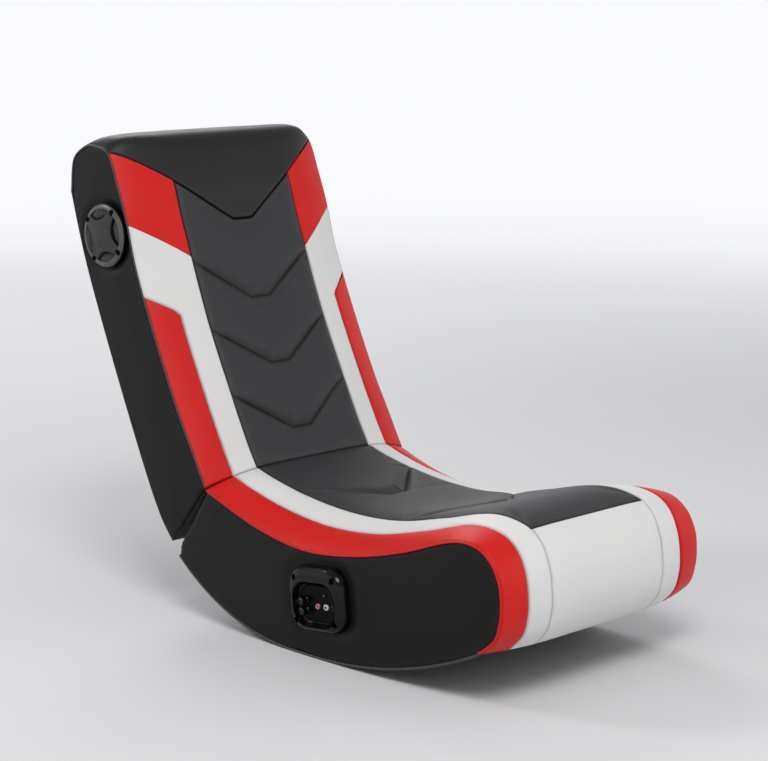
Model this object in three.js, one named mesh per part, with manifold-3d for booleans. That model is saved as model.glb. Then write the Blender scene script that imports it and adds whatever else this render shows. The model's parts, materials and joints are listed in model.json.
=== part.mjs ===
// A folding gaming rocker chair: a padded rocker seat, a padded back hinged to it at the crease, a speaker in each
// side of the back and a control panel in one side of the seat. Millimetres, +Z up, the sitter faces -Y.
import * as THREE from 'three';
import { mergeVertices } from 'three/addons/utils/BufferGeometryUtils.js';
import Module from 'manifold-3d';

// Driving dimensions
const halfWidth = 215;              // middle plane to the outer face of a side cover
const centreHalf = 122;             // middle plane to the seam between the centre pad and the white panels
const borderHalf = 167;             // middle plane to the seam between the white and the red panels
const flatHalf = 60;                // half of the stretch across the middle that has no crown
const crownPower = 2.6;             // how late the padding falls away towards the sides
const pivotHeight = 235.5;          // fold axis above the ground
const seatReach = 616;              // fold axis to the nose of the seat
const backHeight = 580;             // fold axis to the top of the back, along the back
const backDepth = 160;              // fold axis to the rear cover, square to the back
const leanAngle = 23.7;             // lean of the back from upright, in degrees
const footRear = 185;               // fold axis to the rear end of the flat foot
const footFront = 225;              // fold axis to the front end of the flat foot
const rearRockRadius = 416;         // rocker radius behind the foot
const frontRockRadius = 765;        // rocker radius in front of the foot
const rearFootDrop = 23.5;          // seat's lower rear corner to the rear end of the rocker's bottom, downwards
const noseFootDrop = 1;             // lower end of the padding at the nose to the bottom's front end, downwards

// Fold gap between the seat's rear end and the back's lower end
const foldSlope = -53;              // slope of the gap's middle plane, in degrees
const foldSpread = 1.7;             // half of the angle between the gap's two faces, in degrees
const foldHalfGap = 3.6;            // half of the gap at the fold axis
const seatPadRise = 8.1;            // how far the seat padding stands above the fold axis, along the gap
const seatEdgeFall = 22;            // how far the seat's side seam lies below the fold axis, along the gap
const backPadRise = 6.4;            // the same two places on the back's lower end
const backEdgeFall = 21.6;
const backEndFall = 152;            // fold axis to the back's lower rear corner, along the gap

// Walls, boards and clearances
const clearance = 0.3;              // gap between touching pieces
const seamGap = 0.3;                // gap between two panels at a seam
const slantGap = 1.2;               // the same where the seam runs at a slant
const padLip = 8;                   // padding thickness at the side seams
const seamLip = 3;                  // depth of a panel's edge where it covers the edge of the side cover
const coverThickness = 5.5;         // padded side cover
const seatBoardThickness = 15;      // seat's side boards
const backBoardThickness = 10;      // back's side boards
const deckThickness = 10;
const baseThickness = 10;
const bottomCoverThickness = 2.5;
const rearCoverThickness = 2.5;
const supportThickness = 3;         // hardboard behind the back's pads
const ribThickness = 16;
const rearBoardThickness = 10;
const rearBoardFoot = 138;          // fold axis to the lower edge of the seat's rear board, along the gap
const backRailThickness = 9;
const frontRailDepth = 112;         // front rail, from the nose's inner face rearwards
const bottomBoardSetback = 4;       // room between the back's bottom board and the rear cover
const padCore = 26;                 // thickness of the back's centre pad inside its edges
const rollShare = 0.6;              // part of a pad's thickness that is rounded over at the crease
const seamRoll = 6;                 // radius of a panel's edge at a seam
const channelDepth = 6;             // depth of a sewn channel
const channelHalf = 9;              // half width of a sewn channel
const rowStep = 34;                 // longest stretch of padding that is drawn straight
const bossHalf = 20;                // half of the flat bottom of each V
const underBed = 5;                 // how far a pad is drawn past its bed before it is cut flush
const ribHoleAcross = 60;           // middle plane to the hole for the lead in each rib
const ribHoleDrop = 12;             // the hole's centre below the rib's upper edge
const ribHoleRadius = 7;

// Seat channels and seams, as distances along the seat from the crease
const seatChannelTips = [180, 405];
const seatChannelRise = 90;         // the channels' arms run this far back towards the crease
const frontSeam = 575;

// Back channels and seams, as heights along the back from the fold axis
const backChannelTips = [57, 167, 279];
const backChannelRise = 68;         // the channels' arms run this far up
const headrestTip = 409;
const headrestBorder = 479;         // lower seam of the headrest where it meets the centre pad's border
const headrestSide = 542;           // and where it meets the side seam
const whiteTop = 354;               // upper seam of the white panel at the centre pad
const whiteTopSide = 422;           // and at the side
const whiteFlare = 266;             // height where the white panel starts to widen
const flareCorner = 5;              // width of the small corner at that place
const flareCornerRise = 6;
const whiteFlareSide = 304;         // height where the widened panel reaches the side

// Outlines of the padding, as shares of the seat's reach and of the fold axis's height
const seatCentreShares = [
  [-0.175, 0.934], [-0.347, 0.892], [-0.513, 0.909], [-0.67, 0.998], [-0.813, 1.083],
  [-0.911, 1.062], [-0.963, 0.977], [-0.99, 0.828], [-1, 0.658], [-0.998, 0.56],
  [-0.984, 0.44], [-0.945, 0.325],
];
const seatEdgeShares = [
  [-0.166, 0.764], [-0.338, 0.696], [-0.505, 0.739], [-0.664, 0.841], [-0.815, 0.977],
  [-0.896, 0.989], [-0.946, 0.917], [-0.974, 0.794], [-0.981, 0.671], [-0.978, 0.56],
  [-0.962, 0.44], [-0.915, 0.335],
];
// The same for the back, as shares of its depth and of its height
const backCentreShares = [
  [0.006, 0.103], [0.027, 0.209], [0.058, 0.412], [0.033, 0.598], [0.009, 0.731], [-0.023, 0.826],
  [-0.011, 0.934], [0.144, 0.981], [0.381, 0.998], [0.663, 0.986], [0.894, 0.907],
];
const backEdgeShares = [
  [0.165, 0.098], [0.21, 0.217], [0.235, 0.412], [0.228, 0.602], [0.168, 0.731], [0.15, 0.834],
  [0.153, 0.934], [0.3, 0.972], [0.475, 0.99], [0.719, 0.976], [0.894, 0.9],
];
const backRearShares = [[0.894, 0.9], [0.975, 0.69], [0.99, 0.4], [0.97, 0.11], [0.93, -0.035]];

// Hinges
const hingePlace = 66;              // middle plane to the middle of a hinge
const hingeLength = 64;
const knuckleRadius = 2.6;
const hingePinRadius = 1.2;
const hingePinBore = 1.5;
const leafThickness = 1.5;
const leafReach = 60;               // fold axis to the leaf's end
const knuckleCount = 5;
const pinHeadRadius = 2.2;
const pinHeadLength = 1;

// Speakers
const speakerHeight = 426;          // fold axis to the speaker's centre, along the back
const speakerSetback = 87;          // and square to the back
const grilleRadius = 52.5;
const grilleRise = 12.5;
const grilleWall = 1.6;
const grilleRim = 5;
const speakerFlangeRadius = 46;
const speakerFlangeThickness = 3;
const basketRadius = 40;
const basketDepth = 26;
const magnetRadius = 24;
const magnetDepth = 18;
const coneDepth = 16;
const dustCapRadius = 12;
const dustCapRise = 4;

// Control panel, centred on its own face
const panelSetback = 245;           // fold axis to the panel's centre
const panelDrop = 71;               // side seam above the panel to its centre, downwards
const panelTilt = 6;                // its front end is higher, in degrees
const panelBaseHalf = [58, 50];     // half width and half height where it meets the side cover
const panelFaceHalf = [52, 45.7];   // and at its front
const panelDishHalf = [45.5, 33.5]; // inner edge of the rim
const panelFloorHalf = [41, 29];    // floor of the dish
const dishDrop = 6.5;               // the dish's centre below the panel's
const rowDrop = 3;                  // row of the jacks, and the middle between the knobs, below the dish's centre
const panelBaseCorner = 32;
const panelFaceCorner = 28;
const panelDishCorner = 26;
const panelFloorCorner = 22;
const panelRise = 16;
const panelRimRound = 4;
const dishDepth = 11;
const panelBoxHalf = [34, 30];      // box behind the panel, through the side
const panelBoxCorner = 8;
const panelBoxDepth = 28;
const panelBoxClearance = 1;
const facePlateHalf = [39, 27.5];
const facePlateThickness = 1.6;
const knobRadius = 6.9;
const knobHeight = 12;
const knobSetback = 24.5;           // knobs behind the panel's centre
const knobSpacing = 7.6;            // each knob above or below their middle
const knobPointer = 1.2;
const jackRadius = 4.6;
const jackBore = 1.8;
const jackHeight = 2.4;
const jackPlaces = [1.7, 18.9, 33]; // in front of the panel's centre
const lightPlace = [15, 17];        // in front of the panel's centre and above the row
const lightRadius = 1.6;
const lightHeight = 1.2;
const panelScrewRadius = 2.4;
const panelScrewHeight = 1;
const panelScrewPlaceShares = [0.79, 0.71];
const circuitHalf = [46, 34];
const circuitThickness = 1.6;
const heatSink = [8, 50, 30];       // away from the board, along it, up it
const capacitorRadius = 6;
const capacitorHeight = 16;
const capacitorSpacing = 15;

// Leads
const leadRadius = 2.2;
const leadStraight = 24;            // straight run out of what a lead leaves
const leadExitFall = 100;           // fold axis to where the leads meet the end boards, along the gap
const leadStart = [38, 20];         // behind the panel's centre and above it, on the circuit board

const overrun = 2;                  // how far a cutting tool passes the piece that it cuts

const wasm = await Module();
wasm.setup();

// Angles and small helpers

const radians = THREE.MathUtils.degToRad;
const point = (y, z) => new THREE.Vector2(y, z);

/** Offset of a point along a direction. */
function along(start, direction, distance) {
  return start.clone().addScaledVector(direction, distance);
}

/** Evenly spaced values from low to high, ends included. */
function spread(low, high, count) {
  return Array.from({ length: count + 1 }, (_, i) => low + ((high - low) * i) / count);
}

/** How far a rounded edge lies below the surface, at a distance from the edge. */
function edgeRoll(distance, radius) {
  if (distance >= radius) return 0;
  return radius - Math.sqrt(radius * radius - (radius - distance) ** 2);
}

/** The part of a polyline between two places of its first coordinate, ends worked out. */
function stretch(line, low, high) {
  const rising = line[0].x < line[line.length - 1].x ? line : [...line].reverse();
  const at = (value) => {
    const i = Math.min(rising.length - 2, Math.max(0, rising.findIndex((p) => p.x >= value) - 1));
    const share = (value - rising[i].x) / (rising[i + 1].x - rising[i].x);
    return rising[i].clone().lerp(rising[i + 1], share);
  };
  return [at(low), ...rising.filter((p) => p.x > low && p.x < high), at(high)];
}

/** A polyline moved sideways; a positive distance moves it to the left of its direction. */
function offsetLine(line, distance) {
  return line.map((p, i) => {
    const before = line[Math.max(0, i - 1)];
    const after = line[Math.min(line.length - 1, i + 1)];
    const run = after.clone().sub(before).normalize();
    return p.clone().add(point(-run.y, run.x).multiplyScalar(distance));
  });
}

// Solids

/** An indexed triangle list as geometry, turned so that its faces point out. */
function geometryFrom(vertices, triangles) {
  const corner = (i) => vertices[i];
  let volume = 0;
  for (const [a, b, c] of triangles) volume += corner(a).dot(corner(b).clone().cross(corner(c)));
  const index = triangles.flatMap(([a, b, c]) => (volume > 0 ? [a, b, c] : [a, c, b]));
  const geometry = new THREE.BufferGeometry();
  const positions = vertices.flatMap((v) => [v.x, v.y, v.z]);
  geometry.setAttribute('position', new THREE.Float32BufferAttribute(positions, 3));
  geometry.setIndex(index);
  return geometry;
}

/** A closed pad between two grids of points, upper[row][column] and lower[row][column]. */
function gridSolid(upper, lower) {
  const rows = upper.length;
  const columns = upper[0].length;
  const vertices = [...upper.flat(), ...lower.flat()];
  const top = (r, c) => r * columns + c;
  const low = (r, c) => rows * columns + r * columns + c;
  const triangles = [];
  const quad = (a, b, c, d) => triangles.push([a, b, c], [a, c, d]);
  for (let r = 0; r + 1 < rows; r += 1) {
    for (let c = 0; c + 1 < columns; c += 1) {
      quad(top(r, c), top(r, c + 1), top(r + 1, c + 1), top(r + 1, c));
      quad(low(r, c), low(r + 1, c), low(r + 1, c + 1), low(r, c + 1));
    }
    quad(top(r, 0), top(r + 1, 0), low(r + 1, 0), low(r, 0));
    quad(top(r + 1, columns - 1), top(r, columns - 1), low(r, columns - 1), low(r + 1, columns - 1));
  }
  for (let c = 0; c + 1 < columns; c += 1) {
    quad(top(0, c + 1), top(0, c), low(0, c), low(0, c + 1));
    quad(top(rows - 1, c), top(rows - 1, c + 1), low(rows - 1, c + 1), low(rows - 1, c));
  }
  return geometryFrom(vertices, triangles);
}

/** A closed body through a row of rings with equal counts; its two ends are closed by fans round their middles. */
function ringSolid(rings) {
  const count = rings[0].length;
  const middle = (ring) => ring.reduce((sum, p) => sum.add(p), new THREE.Vector3()).divideScalar(count);
  const vertices = [...rings.flat(), middle(rings[0]), middle(rings[rings.length - 1])];
  const first = rings.length * count;
  const triangles = [];
  for (let i = 0; i < count; i += 1) {
    const next = (i + 1) % count;
    for (let r = 0; r + 1 < rings.length; r += 1) {
      const a = r * count;
      const b = a + count;
      triangles.push([a + i, a + next, b + next], [a + i, b + next, b + i]);
    }
    const last = (rings.length - 1) * count;
    triangles.push([first, next, i], [first + 1, last + i, last + next]);
  }
  return geometryFrom(vertices, triangles);
}

/** An outline in Y and Z made into a plate from one X to another. */
function plate(outline, lowX, highX) {
  const geometry = new THREE.ExtrudeGeometry(new THREE.Shape(outline), {
    depth: highX - lowX, bevelEnabled: false, steps: 1,
  });
  const turn = new THREE.Matrix4().makeBasis(
    new THREE.Vector3(0, 1, 0), new THREE.Vector3(0, 0, 1), new THREE.Vector3(1, 0, 0));
  return geometry.applyMatrix4(turn.setPosition(lowX, 0, 0));
}

/** Plain positions of a geometry, with its shared corners merged. */
function welded(geometry) {
  const copy = geometry.clone();
  for (const name of Object.keys(copy.attributes)) if (name !== 'position') copy.deleteAttribute(name);
  return mergeVertices(copy);
}

/** A geometry as a solid for joining and cutting. */
function solid(geometry) {
  const mesh = welded(geometry);
  return new wasm.Manifold(new wasm.Mesh({
    numProp: 3,
    vertProperties: new Float32Array(mesh.attributes.position.array),
    triVerts: new Uint32Array(mesh.index.array),
  }));
}

/** A solid back as geometry. */
function geometryOf(body) {
  const mesh = body.getMesh();
  const geometry = new THREE.BufferGeometry();
  geometry.setAttribute('position', new THREE.Float32BufferAttribute(mesh.vertProperties, 3));
  geometry.setIndex([...mesh.triVerts]);
  return geometry;
}

/** One geometry less others. */
function cut(geometry, ...tools) {
  return geometryOf(tools.reduce((body, tool) => body.subtract(solid(tool)), solid(geometry)));
}

/** Geometries joined into one. */
function join(...pieces) {
  return geometryOf(pieces.map(solid).reduce((body, piece) => body.add(piece)));
}

/** A round bar along X, from one X to another, at a place in Y and Z. */
function bar(radius, lowX, highX, y, z, sides = 10) {
  return new THREE.CylinderGeometry(radius, radius, highX - lowX, sides)
    .rotateZ(Math.PI / 2)
    .translate((lowX + highX) / 2, y, z);
}

/** A profile of [radius, height] pairs turned about the X axis; heights run along +X, in either order. */
function turned(profile, sides) {
  const points = profile.map(([radius, height]) => new THREE.Vector2(radius, height));
  if (THREE.ShapeUtils.area(points) < 0) points.reverse();
  return new THREE.LatheGeometry(points, sides).rotateZ(-Math.PI / 2);
}

/** A box by its size, centred on a place. */
function block(width, depth, height, x, y, z) {
  return new THREE.BoxGeometry(width, depth, height).translate(x, y, z);
}

// Finishes

const finishes = {
  black: { color: 0x17181a, roughness: 0.5, metalness: 0 },
  charcoal: { color: 0x26282c, roughness: 0.5, metalness: 0 },
  white: { color: 0xe4e2dd, roughness: 0.45, metalness: 0 },
  red: { color: 0xc01a18, roughness: 0.45, metalness: 0 },
  plywood: { color: 0xc9a878, roughness: 0.8, metalness: 0 },
  steel: { color: 0xa8abb0, roughness: 0.35, metalness: 1 },
  plastic: { color: 0x121314, roughness: 0.4, metalness: 0 },
  facePlate: { color: 0x2a2c2e, roughness: 0.5, metalness: 0 },
  redPlastic: { color: 0xc8303c, roughness: 0.35, metalness: 0 },
  whitePlastic: { color: 0xdfe8dc, roughness: 0.35, metalness: 0 },
  paperCone: { color: 0x1c1c1d, roughness: 0.9, metalness: 0 },
  circuit: { color: 0x1e5a34, roughness: 0.6, metalness: 0.1 },
};

const seat = new THREE.Group();
const back = new THREE.Group();

/** A named mesh with a finish of its own, put into a group. */
function piece(group, name, geometry, finish) {
  const mesh = new THREE.Mesh(geometry, new THREE.MeshStandardMaterial(finishes[finish]));
  mesh.name = name;
  group.add(mesh);
  return mesh;
}

const sides = [['left', -1], ['right', 1]];

// Padding surfaces

/** How much of the fall to the side seam is reached at a distance from the middle plane. */
function fallShare(x) {
  const share = Math.max(0, (Math.abs(x) - flatHalf) / (halfWidth - flatHalf));
  return share ** crownPower;
}

/** Unit vectors of the fold gap, down along it and square to it towards the back, from the slope in degrees. */
function gapAxes(slope) {
  const down = point(Math.cos(radians(slope)), Math.sin(radians(slope)));
  return { down, across: point(-down.y, down.x) };
}

const seatGap = gapAxes(foldSlope - foldSpread);
const pivot = point(0, pivotHeight);

/** A place on the seat's rear end, by its distance from the fold axis along the gap and its depth from that face. */
function seatEnd(distance, depth = 0) {
  return along(along(pivot, seatGap.down, distance), seatGap.across, -foldHalfGap - depth);
}

const fromSeatShares = (shares) => shares.map(([y, z]) => point(y * seatReach, z * pivotHeight));
const seatCentre = new THREE.SplineCurve([seatEnd(-seatPadRise), ...fromSeatShares(seatCentreShares)]);
const seatEdge = new THREE.SplineCurve([seatEnd(seatEdgeFall), ...fromSeatShares(seatEdgeShares)]);

// The back is drawn upright, its Y square to it and its Z along it, from the fold axis, and then leaned
const backGap = gapAxes(foldSlope + foldSpread + leanAngle);

/** A place on the back's lower end, like seatEnd. */
function backEnd(distance, depth = 0) {
  return along(along(point(0, 0), backGap.down, distance), backGap.across, foldHalfGap + depth);
}

const fromBackShares = (shares) => shares.map(([y, z]) => point(y * backDepth, z * backHeight));
const backCentre = new THREE.SplineCurve([backEnd(-backPadRise), ...fromBackShares(backCentreShares)]);
const backEdge = new THREE.SplineCurve([backEnd(backEdgeFall), ...fromBackShares(backEdgeShares)]);

/** A padded side of the chair: its middle line, its side line and the face that the padding lies on. */
class Padding {
  constructor(centre, edge, inwardSign, endAt, stationCount) {
    Object.assign(this, { centre, edge, inwardSign, endAt, stations: spread(0, 1, stationCount) });
  }

  /** Direction into the padding at the side line. */
  inward(t) {
    const run = this.edge.getTangent(t);
    return point(-run.y, run.x).multiplyScalar(this.inwardSign);
  }

  /** The face under the padding, or one deeper than it. */
  bed(t, depth = 0) {
    if (t <= 0) return this.endAt(padLip + depth);
    return along(this.edge.getPoint(t), this.inward(t), padLip + depth);
  }

  /** The padding's face at a place along it and across it, lowered by a depth towards the bed. */
  face(t, x, depth = 0) {
    const top = this.centre.getPoint(t).lerp(this.edge.getPoint(t), fallShare(x));
    const down = this.bed(t).sub(top).normalize();
    return top.addScaledVector(down, depth);
  }

  /** Thickness of the padding. */
  thickness(t, x) {
    return this.face(t, x).distanceTo(this.bed(t));
  }

  /** The bed as a line, deeper by a depth, from one place to another. */
  bedLine(depth, from = 0, to = 1) {
    return [from, ...this.stations.filter((t) => t > from && t < to), to].map((t) => this.bed(t, depth));
  }

  /** The side line, moved inwards. */
  edgeLine(depth) {
    return this.bedLine(depth - padLip);
  }

  /** A tool that takes away everything in a layer under a line, past both of the line's ends. */
  layer(depth, thickness, lowX, highX) {
    const outline = (level) => {
      const line = this.bedLine(level - padLip);
      const last = line.length - 1;
      const ahead = line[last].clone().sub(line[last - 1]).normalize();
      return [this.endAt(level, -overrun), ...line, along(line[last], ahead, overrun)];
    };
    return plate([...outline(depth), ...outline(depth + thickness).reverse()], lowX, highX);
  }
}

const endOfSeat = (depth, out = 0) => seatEnd(seatEdgeFall + depth, out);
const endOfBack = (depth, out = 0) => backEnd(backEdgeFall + depth, out);
const seatPadding = new Padding(seatCentre, seatEdge, 1, endOfSeat, 36);
const backPadding = new Padding(backCentre, backEdge, -1, endOfBack, 40);

/** Place on the seat's lines at a distance along its middle line. */
function seatPlace(distance) {
  const length = seatCentre.getLength();
  if (distance >= length) return 1;
  return distance <= 0 ? 0 : seatCentre.getUtoTmapping(0, distance);
}

/** Place on the back's lines at a height, by halving; the front of the back rises all the way to the top arc. */
function backPlace(height) {
  if (height <= backCentre.getPoint(0).y) return 0;
  let low = 0;
  let high = backCentreShares.findIndex(([, z]) => z * backHeight > headrestSide) / backCentreShares.length;
  for (let i = 0; i < 40; i += 1) {
    const middle = (low + high) / 2;
    if (backCentre.getPoint(middle).y < height) low = middle;
    else high = middle;
  }
  return (low + high) / 2;
}

const coverInside = halfWidth - coverThickness - clearance;

/**
 * A pad from its cells. Each row is a list of cells { t, x, depth, core }: a place on the lines, a distance across,
 * a depth below the padding's face, and the thickness there if the pad is hollow underneath. The pad is cut flush
 * with its bed, and where it covers the edge of a side cover only its lip is left.
 */
function padFrom(padding, rows) {
  const to3 = (x, p) => new THREE.Vector3(x, p.x, p.y);
  const upper = rows.map((row) => row.map(({ t, x, depth }) => to3(x, padding.face(t, x, depth))));
  const lower = rows.map((row) => row.map(({ t, x, core }) => (
    to3(x, core ? padding.face(t, x, core) : padding.bed(t, underBed)))));
  const furthest = Math.max(...rows.flat().map(({ x }) => Math.abs(x)));
  const tools = [padding.layer(padLip, underBed * 2, -coverInside, coverInside)];
  if (furthest > coverInside) {
    for (const sign of [-1, 1]) {
      const [low, high] = [sign * coverInside, sign * (halfWidth + overrun)].sort((a, b) => a - b);
      tools.push(padding.layer(seamLip, padLip + underBed, low, high));
    }
  }
  return cut(gridSolid(upper, lower), ...tools);
}

/** Places across a panel: close together at its two rounded edges. */
function across(inner, outer, middleCount) {
  const rounded = [0, seamRoll / 3, seamRoll];
  const middle = spread(inner + seamRoll, outer - seamRoll, middleCount).slice(1, -1);
  return [...rounded.map((d) => inner + d), ...middle, ...rounded.reverse().map((d) => outer - d)];
}

/** Places across a panel that ends at the side seam. */
function acrossToSide(inner) {
  const rounded = [0, seamRoll / 3, seamRoll].map((d) => inner + d);
  return [...rounded, ...spread(inner + seamRoll, halfWidth, 4).slice(1)];
}

/** Depth of the rounding and of the rows at a pad's end: [distance from the end, depth] pairs. */
function endRoll(thickness) {
  const radius = thickness * rollShare;
  return [0, 30, 60, 90].map((angle) => [
    radius * (1 - Math.cos(radians(angle))),
    radius * (1 - Math.sin(radians(angle))),
  ]);
}

/** Rows of a pad that starts at the crease: its rounded end, and then its own rows. */
function creaseRows(padding, columns, rowsAfter, placeOf, depthAt) {
  const rolls = columns.map((x) => endRoll(padding.thickness(0, x)));
  const rolled = rolls[0].map((_, k) => columns.map((x, c) => {
    const [distance, depth] = rolls[c][k];
    return { t: placeOf(distance), x, depth: depth + depthAt(x, distance) };
  }));
  return [...rolled, ...rowsAfter];
}

// Seat: padding

/** Rows of the seat's centre pad or of a strip. Each base distance is bent back towards the crease at the borders. */
function seatRows(columns, bases, rise, depthAt) {
  return bases.map((base) => columns.map((x) => ({
    t: seatPlace(base - rise(base) * armShare(x)), x, depth: depthAt(x, base),
  })));
}

/** How far out on a V's arm a place across lies, from its flat bottom to the centre pad's border. */
function armShare(x) {
  return Math.min(1, Math.max(0, (Math.abs(x) - bossHalf) / (centreHalf - bossHalf)));
}

/** How far the rows of the seat's centre pad are bent, from the crease to the front seam. */
function seatRise(base) {
  const [first] = seatChannelTips;
  const last = seatChannelTips[seatChannelTips.length - 1];
  if (base < first) return (seatChannelRise * base) / first;
  if (base <= last) return seatChannelRise;
  return (seatChannelRise * Math.max(0, frontSeam - base)) / (frontSeam - last);
}

/** Rows on and beside each channel, and between them. */
function channelBases(tips, start, end, step) {
  const bases = tips.flatMap((tip) => [tip - channelHalf, tip, tip + channelHalf]);
  const stops = [start, ...bases, end];
  const between = stops.slice(1).flatMap((stop, i) => {
    const run = stop - stops[i];
    const count = Math.floor(run / step);
    return count < 1 ? [] : spread(stops[i], stop, count + 1).slice(1, -1);
  });
  return [...bases, ...between].sort((a, b) => a - b);
}

const onChannel = (tips, base) => (tips.includes(base) ? channelDepth : 0);
const seamInset = seamGap / 2;

function seatCentrePad() {
  const half = centreHalf - seamInset;
  const columns = across(-half, half, 6);
  const dip = (x) => edgeRoll(half - Math.abs(x), seamRoll);
  const firstRow = seatPadding.thickness(0, 0) * rollShare;
  const bases = channelBases(seatChannelTips, firstRow * 2, frontSeam - seamRoll, rowStep);
  const rows = seatRows(columns, [firstRow * 2, ...bases], seatRise, (x, base) => dip(x) + onChannel(seatChannelTips, base));
  const end = [seamRoll, seamRoll / 3, 0].map((d) => columns.map((x) => ({
    t: seatPlace(frontSeam - seamInset - d), x, depth: dip(x) + edgeRoll(d, seamRoll) * (1 - dip(x) / seamRoll),
  })));
  return padFrom(seatPadding, [...creaseRows(seatPadding, columns, rows, seatPlace, dip), ...end]);
}

function seatStrip(sign, inner, outer) {
  const toSide = outer >= halfWidth;
  const columns = (toSide ? acrossToSide(inner) : across(inner, outer, 2)).map((x) => x * sign);
  const dip = (x) => edgeRoll(Math.abs(x) - inner, seamRoll) + (toSide ? 0 : edgeRoll(outer - Math.abs(x), seamRoll));
  const start = seatPlace(seatPadding.thickness(0, inner));
  const rows = spread(start, 1, 24).map((t) => columns.map((x) => ({ t, x, depth: dip(x) })));
  return padFrom(seatPadding, creaseRows(seatPadding, columns, rows, seatPlace, dip));
}

function frontPanel() {
  const half = centreHalf - seamInset;
  const columns = across(-half, half, 4);
  const dip = (x) => edgeRoll(half - Math.abs(x), seamRoll);
  const start = frontSeam + seamInset;
  const distances = [...[0, seamRoll / 3, seamRoll].map((d) => start + d), ...spread(start, seatCentre.getLength(), 9).slice(1)];
  const rows = distances.map((distance) => columns.map((x) => ({
    t: seatPlace(distance), x,
    depth: dip(x) + edgeRoll(distance - start, seamRoll) * (1 - dip(x) / seamRoll),
  })));
  return padFrom(seatPadding, rows);
}

piece(seat, 'seat_centre_pad', seatCentrePad(), 'charcoal');
piece(seat, 'front_panel', frontPanel(), 'white');
for (const [side, sign] of sides) {
  piece(seat, `seat_white_strip_${side}`, seatStrip(sign, centreHalf + seamInset, borderHalf - seamInset), 'white');
  piece(seat, `seat_red_strip_${side}`, seatStrip(sign, borderHalf + seamInset, halfWidth), 'red');
}

// Seat: rocker bottom

/** How far an arc that starts level runs until it has risen to a height. */
const arcRun = (radius, height) => Math.sqrt(radius * radius - (radius - height) ** 2);
const noseFoot = seatEdge.getPoint(1).y;
const rockerRearReach = arcRun(rearRockRadius, seatEnd(rearBoardFoot).y - rearFootDrop) - footRear;
const rockerFrontReach = arcRun(frontRockRadius, noseFoot - noseFootDrop) + footFront;

/** The rocker's bottom line from its rear end to its front end: an arc, the flat foot and a flatter arc. */
function rockerLine(rise = 0) {
  const height = (radius, run) => radius - Math.sqrt(radius * radius - run * run);
  const rear = spread(rockerRearReach, -footRear, 10).map((y) => point(y, height(rearRockRadius, y + footRear)));
  const front = spread(-footFront, -rockerFrontReach, 10)
    .map((y) => point(y, height(frontRockRadius, -footFront - y)));
  const line = [...rear, ...front];
  return rise === 0 ? line : offsetLine(line, -rise);
}

const coverInner = bottomCoverThickness + clearance;
const outerX = halfWidth - coverThickness;
const boardOuter = outerX - clearance;
const seatBoardInner = boardOuter - seatBoardThickness;
const betweenSeatBoards = seatBoardInner - clearance;
const rockerInside = rockerLine(coverInner);

piece(seat, 'bottom_cover', plate([...rockerLine(), ...rockerLine(bottomCoverThickness).reverse()],
  -halfWidth + clearance, halfWidth - clearance), 'black');

// Seat: frame

/** Outline of a side of the seat, inside the padding by a depth at its top. */
function seatSideOutline(top) {
  const rearFoot = seatEnd(rearBoardFoot);
  return [...top, ...[...rockerInside].reverse(), rearFoot];
}

const seatBoardOutline = seatSideOutline(seatPadding.bedLine(clearance));
const seatCoverOutline = seatSideOutline(seatPadding.edgeLine(seamLip + clearance));

const deckTop = seatPadding.bedLine(clearance).filter((p) => p.x > -seatReach + padLip + frontRailDepth);
const deckLow = offsetLine(deckTop, deckThickness);
deckLow[0] = seatEnd(seatEdgeFall + padLip + clearance + deckThickness);
piece(seat, 'seat_deck', plate([...deckTop, ...deckLow.reverse()], -betweenSeatBoards, betweenSeatBoards), 'plywood');

const deckFront = deckTop[deckTop.length - 1].x;
const railRear = Math.min(deckFront, deckLow[0].x) - clearance;
const noseLine = seatPadding.bedLine(clearance).filter((p) => p.x < railRear);
const railFoot = stretch(rockerInside, noseLine[noseLine.length - 1].x, railRear);
piece(seat, 'seat_front_rail', plate([...noseLine, ...railFoot], -betweenSeatBoards, betweenSeatBoards), 'plywood');

const baseFront = railRear + clearance;
const baseRear = rockerRearReach - baseThickness;
const baseLow = stretch(rockerInside, baseFront, baseRear);
const baseTop = offsetLine(baseLow, baseThickness);
piece(seat, 'base_board', plate([...baseLow, ...baseTop.reverse()], -betweenSeatBoards, betweenSeatBoards), 'plywood');

const rearBoardTop = seatEdgeFall + padLip + deckThickness + clearance * 2;
piece(seat, 'seat_rear_board', plate([
  seatEnd(rearBoardTop), seatEnd(rearBoardFoot),
  seatEnd(rearBoardFoot, rearBoardThickness), seatEnd(rearBoardTop, rearBoardThickness),
], -betweenSeatBoards, betweenSeatBoards), 'plywood');

const ribShares = { seat_rear_rib: 0.24, seat_front_rib: 0.66 };
const ribFloor = offsetLine(stretch(rockerInside, -rockerFrontReach + overrun, baseRear), baseThickness + clearance);
const ribCeiling = offsetLine(deckTop, deckThickness + clearance);

/** The middle of the hole through a rib, by the rib's share of the seat's reach. */
function ribHole(share) {
  const middle = -seatReach * share;
  const [ceiling] = stretch(ribCeiling, middle, middle + ribThickness);
  return new THREE.Vector3(-ribHoleAcross, middle, ceiling.y - ribHoleDrop);
}

for (const [name, share] of Object.entries(ribShares)) {
  const hole = ribHole(share);
  const low = hole.y - ribThickness / 2;
  const high = hole.y + ribThickness / 2;
  const rib = plate([...stretch(ribFloor, low, high), ...stretch(ribCeiling, low, high).reverse()],
    -betweenSeatBoards, betweenSeatBoards);
  const drill = new THREE.CylinderGeometry(ribHoleRadius, ribHoleRadius, ribThickness + overrun * 2, 16)
    .translate(...hole);
  piece(seat, name, cut(rib, drill), 'plywood');
}

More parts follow.
